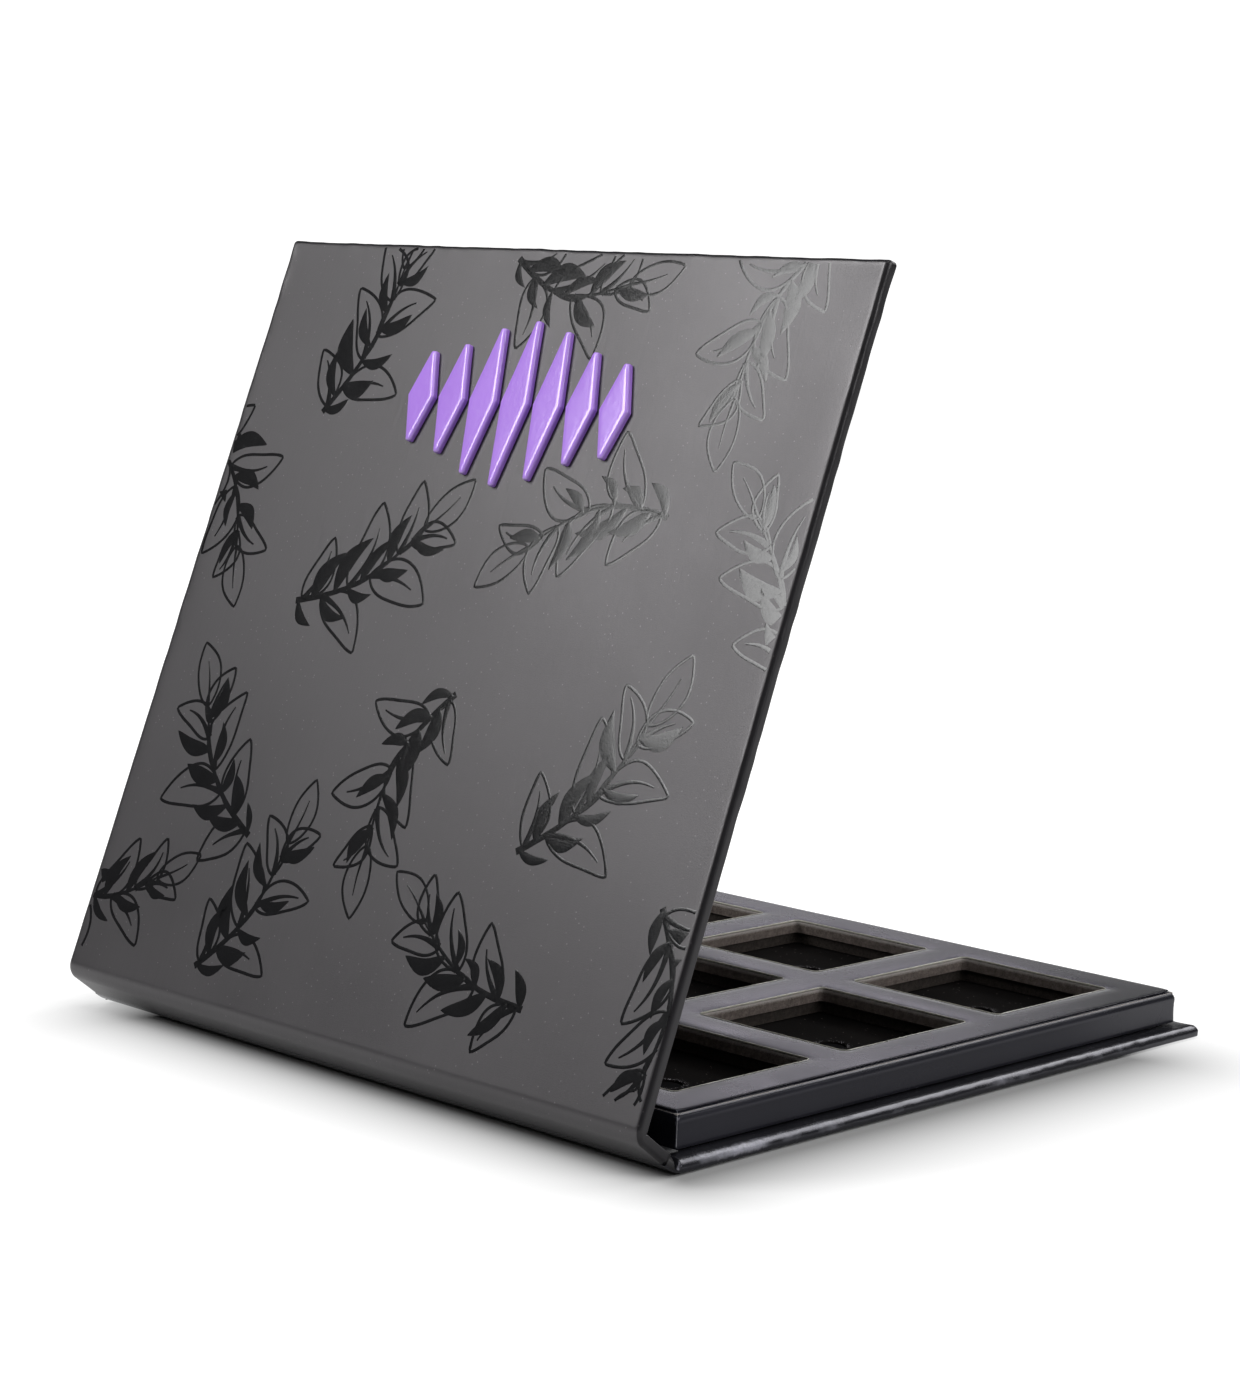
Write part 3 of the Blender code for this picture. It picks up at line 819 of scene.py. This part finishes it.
def pierced_plate(name, shape, section, rim, finish):
    """A plate with nine like holes. `shape` gives a hole's outline for a distance out from it.

    The section runs from the plate's underside up the hole's wall and over its top, and the
    rim from the underside round the plate's edge to its top. Their rows are (distance from the
    hole or inset from the tray's edge, height, edge value).
    """
    bottom, top = rim[0][1], rim[-1][1]

    def grid(outlines, rows):
        heights = [bottom, *(z for _, z, _ in rows), top]
        values = np.array([0.0, *(edge for _, _, edge in rows), 0.0])[:, None]
        return np.array([at_height(*pair) for pair in zip(outlines, heights)]), values

    loops = [shape(distance) for distance, _, _ in section]
    cell, values = grid([cell_edge(loops[0]), *loops, cell_edge(loops[-1])], section)
    grids = []
    for y in (-1, 0, 1):
        for x in (-1, 0, 1):
            shift = np.array((x * WELL_PITCH, y * WELL_PITCH + TRAY_CENTRE_Y, 0))
            grids.append((cell + shift, values, True))
    outline = block_outline(loops[0])[::-1]
    drawn = [drawn_outline(outline, TRAY_HALF - inset, TRAY_CORNER) for inset, _, _ in rim]
    border, values = grid([outline, *drawn, outline], rim)
    grids.append((border + (0, TRAY_CENTRE_Y, 0), values, True))
    return build(name, grids, finish, solid=True)


def make_tray_top(finish):
    """The top sheet: it dips at each window's cut edge, and stops just inside the shoulder."""
    dips = [
        (3.2, 0.0, 0.0), (2.2, 0.012, 0.0), (1.5, 0.035, 0.0), (1.0, 0.065, 0.0),
        (0.6, 0.10, 0.0), (0.35, 0.13, 0.1), (0.2, 0.135, 0.5), (0.10, 0.06, 1.0),
        (0.04, 0.055, 1.0),
    ]
    section = [(distance, SHEET_BOTTOM - dip, 0.0) for distance, dip, _ in dips]
    section += [(0.0, SHEET_BOTTOM - 0.07, 1.0), (0.0, SHEET_TOP - 0.08, 1.0)]
    section += [(distance, SHEET_TOP - dip, edge) for distance, dip, edge in dips[::-1]]
    rim = [
        (1.6, SHEET_BOTTOM, 0.0), (1.05, SHEET_BOTTOM, 0.0), (0.82, 7.21, 0.0),
        (0.79, 7.23, 0.0), (0.78, 7.28, 0.0), (0.80, 7.33, 0.0), (0.86, 7.365, 0.0),
        (1.0, 7.385, 0.0), (1.3, 7.397, 0.0), (1.9, SHEET_TOP, 0.0),
    ]

    def window(distance):
        return square_loop(WELL_HALF + distance, WELL_CORNER + distance)

    def relief(place, edge):
        fine = ripple(place, 1.7, 31) * 0.010 + ripple(place, 5.0, 32) * 0.012
        return edge * fine + (1 - edge) * ripple(place, 22.0, 33) * 0.014

    piece = pierced_plate("tray_top_paper", window, section, rim, finish)
    ruffle(piece, relief)
    settle(piece, "base", "tray_top_sheet")


def make_tray_side(finish):
    """The band round the tray: up the side, round the shoulder in a quarter circle and in under
    the top sheet. The rear face steps in behind the folded ends of the two side bands. A pale
    line is painted up each corner within 14 degrees of the place where it turns by 62, a painted
    highlight."""
    outline = square_loop(TRAY_HALF, TRAY_CORNER, 240, 9)
    turn = np.linspace(0, math.pi / 2, 7)
    insets = SHOULDER_RADIUS * (1 - np.cos(turn))
    heights = SHOULDER_TOP - SHOULDER_RADIUS * (1 - np.sin(turn))
    section = [
        (0.03, BAND_BOTTOM), (0.0, 2.3), (0.02, 2.7), (0.05, 3.4), (0.06, 4.3), (0.05, 5.2),
        (0.02, 5.6), *zip(insets, heights), (1.6, SHOULDER_TOP), (1.6, 7.06), (0.5, 7.02),
        (0.26, 6.8), (0.26, 4.5), (0.25, 2.3), (0.2, BAND_BOTTOM), (0.03, BAND_BOTTOM),
    ]
    rows = []
    for inset, z in section:
        loop = drawn_outline(outline, TRAY_HALF - inset, TRAY_CORNER)
        rear = smooth_step(TRAY_HALF - np.abs(loop[:, 0]), 0.3, 0.45)
        rear = rear * (loop[:, 1] > TRAY_HALF - 0.5)
        low = smooth_step(z, BAND_BOTTOM, 2.9) * (1 - smooth_step(z, 6.2, 6.6))
        loop = loop - np.stack([0 * rear, rear * 0.16 * low], -1)
        rows.append(at_height(loop, z))
    off = TRAY_HALF - np.abs(outline)
    # Painted highlight: a pale line up each corner, where a lamp's reflection would lie.
    painted_corner_highlight = np.abs(np.degrees(np.arctan2(off[:, 1], off[:, 0])) - 62) < 14
    painted_corner_highlight = painted_corner_highlight & (np.abs(outline).min(1) > TRAY_HALF - TRAY_CORNER)
    edges = np.array([1.0 if z > 2.3 else 0.5 for _, z in section])[:, None] * painted_corner_highlight
    grid = np.array(rows) + (0, TRAY_CENTRE_Y, 0)
    piece = build("tray_side_paper", [(grid, edges, True)], finish, solid=True)

    def relief(place, edge):
        return edge * ripple(place, 2.4, 41) * 0.014 + ripple(place, 14.0, 42) * 0.012

    ruffle(piece, relief)
    settle(piece, "base", "tray_side_wrap")


def make_base_board(finish):
    """The base's board, its upper edges pressed round: rectangles with rounded corners from the
    middle of its underside out to its rim and back to the middle of its top."""
    half_x, half_y, middle_y, bottom, top = 62.1, 60.7, -0.9, 0.4, 1.6
    section = [
        (0.9, bottom), (0.5, 0.6), (0.5, 0.8), (0.9, 1.1), (1.5, 1.35), (2.2, 1.5), (3.2, top),
    ]
    loop = square_loop(half_y, 1.2)
    rows = [at_height(0 * loop, bottom)]
    for inset, z in section:
        drawn = loop * (1 - inset / half_y)
        rows.append(at_height(drawn + np.sign(drawn) * (half_x - half_y, 0), z))
    rows.append(at_height(0 * loop, top))
    grid = np.array(rows) + (0, middle_y, 0)
    piece = build("base_board_pressed", [(grid, 0.0, True)], finish, solid=True)
    settle(piece, "base", "base_board")


def make_well_floor(finish):
    """The floor card, its nine holes with edges pressed round by the punch."""
    section = [
        (0.0, FLOOR_BOTTOM, 0.0), (0.0, 2.6, 0.0), (0.0, 2.86, 0.3), (0.05, 2.94, 0.8),
        (0.14, 2.985, 0.85), (0.35, FLOOR_TOP, 0.8), (0.8, FLOOR_TOP, 0.65),
        (1.6, FLOOR_TOP, 0.35), (2.8, FLOOR_TOP, 0.0),
    ]
    rim = [(0.4, FLOOR_BOTTOM, 0.0), (0.4, FLOOR_TOP, 0.0)]

    def hole(distance):
        return round_loop(HOLE_RADIUS + distance)

    piece = pierced_plate("well_floor_card", hole, section, rim, finish)
    settle(piece, "base", "well_floor")


# ---- lid's raised pieces ----


def on_lid(x, along, lift):
    """Points on the lid's outer face: x across, `along` from the fold line, lift outwards from
    the paper's relief."""
    s = UPPER_FOLD.arc_end + along - FOLD_REACH
    margin = np.minimum(HALF_WIDTH - np.abs(x), PANEL_LENGTH - along)
    edge = np.interp(margin, (0.4, 0.5, 1.2, 2.0, 3.0), (0.52, 0.5, 0.25, 0.05, 0.0))
    relief = cover_relief(UPPER_FOLD.place(x, s, 0 * s), edge, UPPER_FOLD)
    return UPPER_FOLD.place(x, s, -(lift + relief))


def rounded_lozenge(half_length, inset, steps=7):
    """A six-sided lozenge drawn in by inset, its corners rounded, as a closed outline."""
    wide, tip = LOZENGE_WIDTH / 2, LOZENGE_TIP / 2
    corners = np.array([(wide, 0), (tip, half_length), (-tip, half_length)])
    corners = np.concatenate([corners, -corners])
    after = np.roll(corners, -1, axis=0)
    along = (after - corners) / np.linalg.norm(after - corners, axis=1)[:, None]
    inward = np.stack([-along[:, 1], along[:, 0]], -1)
    radius = max(LOZENGE_ROUND - inset * 0.5, 0.08)
    depth = inset + radius
    before_in, after_in = np.roll(inward, 1, axis=0), inward
    middle = (before_in + after_in) / (1 + (before_in * after_in).sum(1))[:, None]
    hubs = corners + middle * depth
    start = np.arctan2(-before_in[:, 1], -before_in[:, 0])
    turn = np.arctan2(-after_in[:, 1], -after_in[:, 0]) - start
    turn = (turn + math.pi) % (2 * math.pi) - math.pi
    angles = start[:, None] + turn[:, None] * np.linspace(0, 1, steps)
    arcs = hubs[:, None] + radius * np.stack([np.cos(angles), np.sin(angles)], -1)
    following = np.roll(arcs[:, 0], -1, axis=0)
    share = np.linspace(0, 1, 9)[1:-1][None, :, None]
    sides = arcs[:, -1:] * (1 - share) + following[:, None] * share
    return np.concatenate([arcs, sides], axis=1).reshape(-1, 2)


def make_lozenges(finish):
    """A row of gel lozenges, longest in the middle, each with a rounded shoulder. Past the last
    rounded inset the outline only shrinks about its middle."""
    middle, last_inset, wide = (LOZENGE_COUNT - 1) / 2, 0.45, LOZENGE_WIDTH / 2
    section = [
        (0.05, -0.02, 0.0), (0.0, 0.05, 0.0), (0.0, 0.52, 0.2), (0.02, 0.66, 0.6),
        (0.08, 0.79, 1.0), (0.17, 0.88, 1.0), (0.29, 0.945, 0.7), (0.42, 0.98, 0.3),
        (0.6, 0.996, 0.0), (1.2, LOZENGE_RAISE, 0.0),
    ]
    lifts = [lift for _, lift, _ in section]
    lifts = np.array([lifts[0], *lifts, lifts[-1]])[:, None]
    edges = np.array([0.0, *(edge for _, _, edge in section), 0.0])[:, None]
    for index in range(LOZENGE_COUNT):
        offset = index - middle
        fall = 0.5 - 0.5 * math.cos(math.pi * offset / middle)
        half = LOZENGE_LENGTH / 2 * (1 - (1 - END_LOZENGE_SHARE) * fall)
        outlines = []
        for inset, _, _ in section:
            more = max(inset - last_inset, 0)
            outline = rounded_lozenge(half, min(inset, last_inset))
            outlines.append(outline * (1 - more / wide, 1 - more / half))
        point = 0 * outlines[0]
        outlines = np.array([point, *outlines, point])
        x = outlines[..., 0] + offset * LOZENGE_PITCH
        grid = on_lid(x, outlines[..., 1] + EMBLEM_CENTRE, lifts + 0 * x)
        piece = build(f"gel_lozenge_{index + 1}", [(grid, edges, True)], finish, solid=True)
        settle(piece, "lid", f"lid_lozenge_{index + 1}")


PRINT_LIFT, PRINT_LIFT_STEP = 0.014, 0.00002
PRINT_SEED = 500
SHORTEST_RUN = 6
PRINT_LINE = 0.50
PRINT_START = 4.4
PRINT_END = PANEL_LENGTH - 0.9
PRINT_SIDE = HALF_WIDTH - 0.9

# Middle (across, up), turn in degrees and size of each printed sprig
SPRIGS = [
    (-44, 112, 200, 0.98), (-6, 118, 98, 0.95), (36, 110, 20, 1.0), (58, 80, 140, 0.95),
    (-58, 78, 330, 0.95), (-20, 82, 255, 1.0), (20, 72, 60, 1.05), (-38, 46, 40, 1.05),
    (2, 40, 200, 1.0), (42, 38, 315, 1.0), (56, 15, 80, 0.9), (-60, 16, 170, 0.95),
    (-21, 17, 290, 0.95), (24, 19, 30, 0.95),
]
# Where each side leaf leaves the stem, as a share of its length, and how long it is
SIDE_LEAVES = [(0.06, 10.5), (0.22, 12.5), (0.42, 13.5), (0.58, 12.5), (0.80, 10.5), (0.90, 9.0)]
# The same for the solid blades between them
BLADES = [
    (0.02, 6.0), (0.12, 8.0), (0.20, 6.5), (0.30, 9.0), (0.40, 6.0), (0.50, 8.5), (0.62, 7.0),
    (0.72, 8.0), (0.92, 6.5),
]
STEM_LENGTH = 26.0
STEM_POINTS = 60


def leaf_edges(length, width, lean, count=44):
    """A leaf's two edges and its midrib along x. Its half width is sin(pi t^0.85), squared off
    a little, times a slow waver; the midrib bends by lean times a half sine."""
    t = 0.5 - 0.5 * np.cos(np.linspace(0.06, math.pi - 0.06, count))
    waver = 1 + 0.05 * np.sin(7 * t + 9 * lean)
    half = width / 2 * np.sin(math.pi * t**0.85) ** 0.8 * waver
    rib = np.stack([t * length, lean * length * 0.16 * np.sin(math.pi * t)], -1)
    side = np.stack([0 * t, half], -1)
    return rib + side, rib - side, rib


def turned(points, angle):
    """Points turned about the origin."""
    c, s = math.cos(angle), math.sin(angle)
    return points @ np.array(((c, s), (-s, c)))


def sprig_strokes(seed):
    """One sprig about its middle: lines as (points, widths), and solid forms as two edges.

    Leaves stand left and right of a bent stem in turn, each an outline with a midrib. Solid
    blades crowd the stem between them."""
    rng = np.random.default_rng(seed)
    t, last = np.linspace(0, 1, STEM_POINTS), STEM_POINTS - 1
    sway = rng.uniform(2.0, 4.0) * rng.choice((-1, 1))
    stem = np.stack([sway * (np.sin(math.pi * t) - 0.5), STEM_LENGTH * (t - 0.62)], -1)
    ahead = np.gradient(stem, axis=0)
    heading = np.arctan2(ahead[:, 1], ahead[:, 0])
    lines = [(stem, PRINT_LINE * (2.2 - 1.4 * t))]
    fills = []

    def put(points, k, angle):
        return stem[k] + turned(points, angle)

    for index, (share, length) in enumerate(SIDE_LEAVES):
        k = int(share * last)
        side = 1 if index % 2 else -1
        angle = heading[k] + side * math.radians(62 - 26 * share + rng.uniform(-5, 5))
        length = length * rng.uniform(0.94, 1.06)
        width, lean = length * rng.uniform(0.44, 0.52), -side * rng.uniform(0.5, 0.9)
        upper, lower, rib = leaf_edges(length, width, lean)
        outline = np.concatenate([upper, lower[::-1]])
        lines.append((put(outline, k, angle), np.full(len(outline), PRINT_LINE)))
        reach = int(len(rib) * rng.uniform(0.62, 0.75))
        lines.append((put(rib[:reach], k, angle), PRINT_LINE * np.linspace(2.6, 0.5, reach)))
    upper, lower, rib = leaf_edges(11.0, 5.2, 0.3)
    outline = np.concatenate([upper, lower[::-1]])
    lines.append((put(outline, last, heading[last]), np.full(len(outline), PRINT_LINE * 0.9)))
    lines.append((put(rib[:28], last, heading[last]), PRINT_LINE * np.linspace(1.4, 0.4, 28)))
    for index, (share, length) in enumerate(BLADES):
        k = int(share * last)
        side = -1 if index % 2 else 1
        angle = heading[k] + side * math.radians(rng.uniform(22, 58))
        length = length * rng.uniform(0.85, 1.15)
        width, lean = length * rng.uniform(0.24, 0.36), side * rng.uniform(0.4, 1.2)
        upper, lower, _ = leaf_edges(length, width, lean, 24)
        fills.append((put(upper, k, angle), put(lower, k, angle)))
    return lines, fills


def inside_print(points):
    x, along = points.T
    return (np.abs(x) < PRINT_SIDE) & (along > PRINT_START) & (along < PRINT_END)


def shown_runs(inside):
    """The long enough stretches of consecutive points that are inside, as (start, end)."""
    marks = np.diff(np.concatenate([[0], inside.astype(int), [0]]))
    runs = zip(np.flatnonzero(marks == 1), np.flatnonzero(marks == -1))
    return [(start, end) for start, end in runs if end - start > SHORTEST_RUN]


def refined(points, widths, step=0.45):
    """The same line with points at an even step."""
    lengths = np.concatenate([[0], np.cumsum(np.linalg.norm(np.diff(points, axis=0), axis=1))])
    even = np.linspace(0, lengths[-1], max(4, int(lengths[-1] / step)))
    place = np.stack([np.interp(even, lengths, points[:, i]) for i in range(2)], -1)
    return place, np.interp(even, lengths, widths)


def raised_strip(left, right, lift):
    """A closed strip between two edges on the lid, from just under its face to lift above."""
    foot, inner = -0.03, 0.22
    rows = []
    for share, height in (
        (0.0, foot), (0.0, lift * 0.6), (inner, lift), (1 - inner, lift), (1.0, lift * 0.6),
        (1.0, foot), (0.0, foot),
    ):
        flat = left * (1 - share) + right * share
        rows.append(on_lid(flat[:, 0], flat[:, 1], np.full(len(flat), height)))
    grid = np.array(rows)
    caps = []
    for ring in (grid[:, 0], grid[::-1, -1]):
        caps.append((np.stack([ring, np.broadcast_to(ring.mean(0), ring.shape)]), 0.0, False))
    return [(grid, 0.0, False), *caps]


def make_print(finish):
    """Sprigs of gloss varnish on the lid, cut off at its edges and at the bend. Each strip lies
    a trace higher than the one before, so that none share a plane."""
    strips = []
    for index, (x, along, angle, size) in enumerate(SPRIGS):

        def placed(points):
            return turned(points * size, math.radians(angle)) + (x, along)

        lines, fills = sprig_strokes(PRINT_SEED + index)
        for points, widths in lines:
            points, widths = refined(placed(points), widths)
            for a, b in shown_runs(inside_print(points)):
                run, half = points[a:b], widths[a:b, None] / 2
                heading = np.gradient(run, axis=0)
                heading /= np.linalg.norm(heading, axis=1)[:, None]
                across = np.stack([-heading[:, 1], heading[:, 0]], -1)
                strips.append((run + across * half, run - across * half))
        for left, right in fills:
            left, right = placed(left), placed(right)
            for a, b in shown_runs(inside_print(left) & inside_print(right)):
                strips.append((left[a:b], right[a:b]))
    grids = []
    for number, (left, right) in enumerate(strips, 1):
        grids += raised_strip(left, right, PRINT_LIFT + PRINT_LIFT_STEP * number)
    piece = build("leaf_print", grids, finish, solid=True, part_size=3)
    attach(piece, "lid")


# ---- studio ----


def set_camera():
    forward, right = np.array(CAMERA_FORWARD), np.array(CAMERA_RIGHT)
    up = np.cross(-forward, right)
    data = bpy.data.cameras.new("camera")
    data.sensor_width, data.lens = SENSOR, CAMERA_LENS
    data.clip_start, data.clip_end = 0.01, 20.0
    camera = bpy.data.objects.new("camera", data)
    bpy.context.scene.collection.objects.link(camera)
    columns = [right, up, -forward, np.array(CAMERA_PLACE) * MM]
    rows = [[column[i] for column in columns] for i in range(3)] + [[0, 0, 0, 1]]
    camera.matrix_world = Matrix(rows)
    bpy.context.scene.camera = camera


def add_softbox(name, azimuth, elevation, distance, size, radiance, turn, tint=(1, 1, 1)):
    """A rectangular lamp that faces the palette, its brightness given as seen from it."""
    data = bpy.data.lights.new(name, "AREA")
    data.color = tint
    data.shape = "RECTANGLE"
    data.size, data.size_y = size
    data.energy = radiance * math.pi * size[0] * size[1]
    a, e = math.radians(azimuth), math.radians(elevation)
    back = Vector((math.cos(a) * math.cos(e), math.sin(a) * math.cos(e), math.sin(e)))
    lamp = bpy.data.objects.new(name, data)
    lamp.rotation_mode = "QUATERNION"
    lamp.location = Vector((0, 0.02, 0.05)) + back * distance
    aim = (-back).to_track_quat("-Z", "Y")
    lamp.rotation_quaternion = aim @ Matrix.Rotation(math.radians(turn), 3, "Z").to_quaternion()
    bpy.context.scene.collection.objects.link(lamp)


def seen_ray(tree):
    """1 for camera, glossy and transmission rays, which see the white background."""
    path = add_node(tree, "ShaderNodeLightPath").outputs
    seen = calculate(tree, "MAXIMUM", path["Is Camera Ray"], path["Is Glossy Ray"])
    return calculate(tree, "MAXIMUM", seen, path["Is Transmission Ray"])


def glow_with_painted_shadow(tree, place):
    """How white the floor is of itself: little under the case and just beside it, rising as
    1 - exp(-(distance / length) ^ power), then white as far as its reach, and behind the palette
    as far as the backdrop. The dim rim left round the footprint is a painted contact shadow,
    laid over the lamps' own shadow of the case."""
    reach = add_node(tree, "ShaderNodeVectorMath", {0: place}, operation="LENGTH")
    along = {0: place, 1: GLOW_AHEAD}
    along = add_node(tree, "ShaderNodeVectorMath", along, operation="DOT_PRODUCT")
    near = remap(tree, reach.outputs["Value"], scaled(GLOW_REACH, MM), 1.0, 0.0)
    ahead = remap(tree, along.outputs["Value"], scaled(GLOW_AHEAD_RISE, MM))
    beside = calculate(tree, "DIVIDE", beside_footprint(tree, place), GLOW_LENGTH * MM)
    fall = calculate(tree, "POWER", math.exp(-1), calculate(tree, "POWER", beside, GLOW_POWER))
    clear = calculate(tree, "SUBTRACT", 1.0, fall)
    return multiply(tree, calculate(tree, "MAXIMUM", near, ahead), clear)


def beside_footprint(tree, place):
    """The distance, in metres, from the oblong that the case stands on: the length of what is
    left of a point's place from the oblong's middle once its half sizes are taken off."""
    axes = add_node(tree, "ShaderNodeSeparateXYZ", {0: place}).outputs
    squares = []
    for axis, centre, half in zip(axes, FOOTPRINT_CENTRE, FOOTPRINT_HALF):
        off = calculate(tree, "ABSOLUTE", calculate(tree, "SUBTRACT", axis, centre * MM))
        spare = calculate(tree, "MAXIMUM", calculate(tree, "SUBTRACT", off, half * MM), 0.0)
        squares.append(multiply(tree, spare, spare))
    return calculate(tree, "SQRT", calculate(tree, "ADD", *squares))


def pale_surface(name, albedo):
    """A matt pale surface for the floor and the backdrop."""
    return Finish(name, 0.9, 0.0, Base_Color=(albedo,) * 3, Emission_Strength=1.0)


def make_studio():
    """A dim even room, a floor and a low far backdrop that are seen white, and the lamps."""
    scene = bpy.context.scene
    scene.view_settings.view_transform = "Standard"
    scene.world = bpy.data.worlds.new("dim_room")
    scene.world.use_nodes = True
    background = scene.world.node_tree.nodes["Background"]
    background.inputs["Strength"].default_value = ROOM_STRENGTH
    background.inputs["Color"].default_value = (1, 1, 1, 1)

    pale = pale_surface("pale_floor", FLOOR_ALBEDO)
    glow = multiply(pale.tree, seen_ray(pale.tree), glow_with_painted_shadow(pale.tree, pale.place))
    pale.link("Emission Color", glow)
    lines = np.linspace(-FLOOR_REACH, FLOOR_REACH, 5)
    x, y = np.meshgrid(lines, lines)
    flat = np.stack([x, y, 0 * x - FLOOR_DROP], -1)
    floor = build("floor", [(flat, 0.0, False)], pale.material)

    pale = pale_surface("white_backdrop", 0.9)
    pale.link("Emission Color", seen_ray(pale.tree))
    turn, z = np.radians(np.linspace(*BACKDROP_SPAN, 49)), np.linspace(-1, BACKDROP_HEIGHT, 9)
    turn, z = np.meshgrid(turn, z)
    wall = np.stack([BACKDROP_REACH * np.cos(turn), BACKDROP_REACH * np.sin(turn), z], -1)
    backdrop = build("backdrop", [(wall, 0.0, False)], pale.material)

    for softbox in SOFTBOXES:
        add_softbox(*softbox)


def dress_nodes(finishes):
    """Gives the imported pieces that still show, or lie inside, their finishes."""
    for name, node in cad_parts.items():
        for start, finish in finishes.items():
            if name.startswith(start) and not node.hide_render:
                node.data.materials.clear()
                node.data.materials.append(finish)


def main():
    set_camera()
    for body, inputs in EFFECTS:
        make_group(body, inputs)
    black = (0.0075, 0.0075, 0.0105)
    soft_touch = soft_touch_finish("lid_soft_touch", (0.0050, 0.0042, 0.0056), 0.411, 0.8)
    rim = soft_touch_finish("pressed_rim", (0.0060, 0.0056, 0.0062), 0.45, 0.28)
    satin = satin_paper_finish("tray_satin", black, (0.40, 0.39, 0.33), 0.25, 0.45)
    # On this band the paler edge colour is a painted corner highlight.
    band_satin = satin_paper_finish("band_satin", black, (0.30, 0.30, 0.32), 0.28, 0.28)
    base_satin = satin_paper_finish(
        "base_satin", (0.006, 0.006, 0.0075), (0.22, 0.22, 0.25), 0.24, 0.45, True
    )
    liner = liner_finish()
    board = greyboard_finish("raw_greyboard", (0.058, 0.046, 0.041), (0.136, 0.114, 0.102))
    # Painted shade: the lower frame is the same greyboard, given a darker copy because it lies set
    # back in the wells.
    shaded_lower_board = greyboard_finish(
        "shaded_lower_greyboard", (0.013, 0.0105, 0.0090), (0.034, 0.028, 0.0245)
    )
    plated = metal_finish("plated_disc", (0.55, 0.54, 0.52), 0.25, 1.0, 0.5)
    make_cover_paper(
        "base_cover_paper", LOWER_FOLD, base_satin, rim,
        ("base_wrap", "lower_fold_paper"),
    )
    make_cover_paper(
        "lid_cover_paper", UPPER_FOLD, soft_touch, rim,
        ("spine_wrap", "upper_fold_paper", "lid_wrap"),
    )
    make_liner(
        "lid_liner_paper", UPPER_FOLD, UPPER_FOLD.end - LINER_MARGIN, liner,
        ("spine_liner", "lid_liner"), 61,
    )
    make_liner(
        "hinge_liner_paper", LOWER_FOLD, LOWER_FOLD.arc_end + 1.0, liner, (), 62,
    )
    make_tray_top(satin)
    make_tray_side(band_satin)
    make_base_board(board)
    make_well_floor(black_card_finish())
    make_lozenges(gel_finish())
    make_print(gloss_print_finish())
    dress_nodes({
        "spine_board": board, "lid_board": board,
        "lower_frame": shaded_lower_board, "upper_frame": board,
        # The magnets are dark ferrite, also made near black as painted shade, so that the holes
        # over them read as dark recesses.
        "pan_magnet": metal_finish("ferrite_with_painted_shade", (0.0035, 0.0035, 0.004), 0.75, 0.0, 0.03),
        "tray_closure": plated, "lid_closure": plated,
    })
    make_studio()


main()
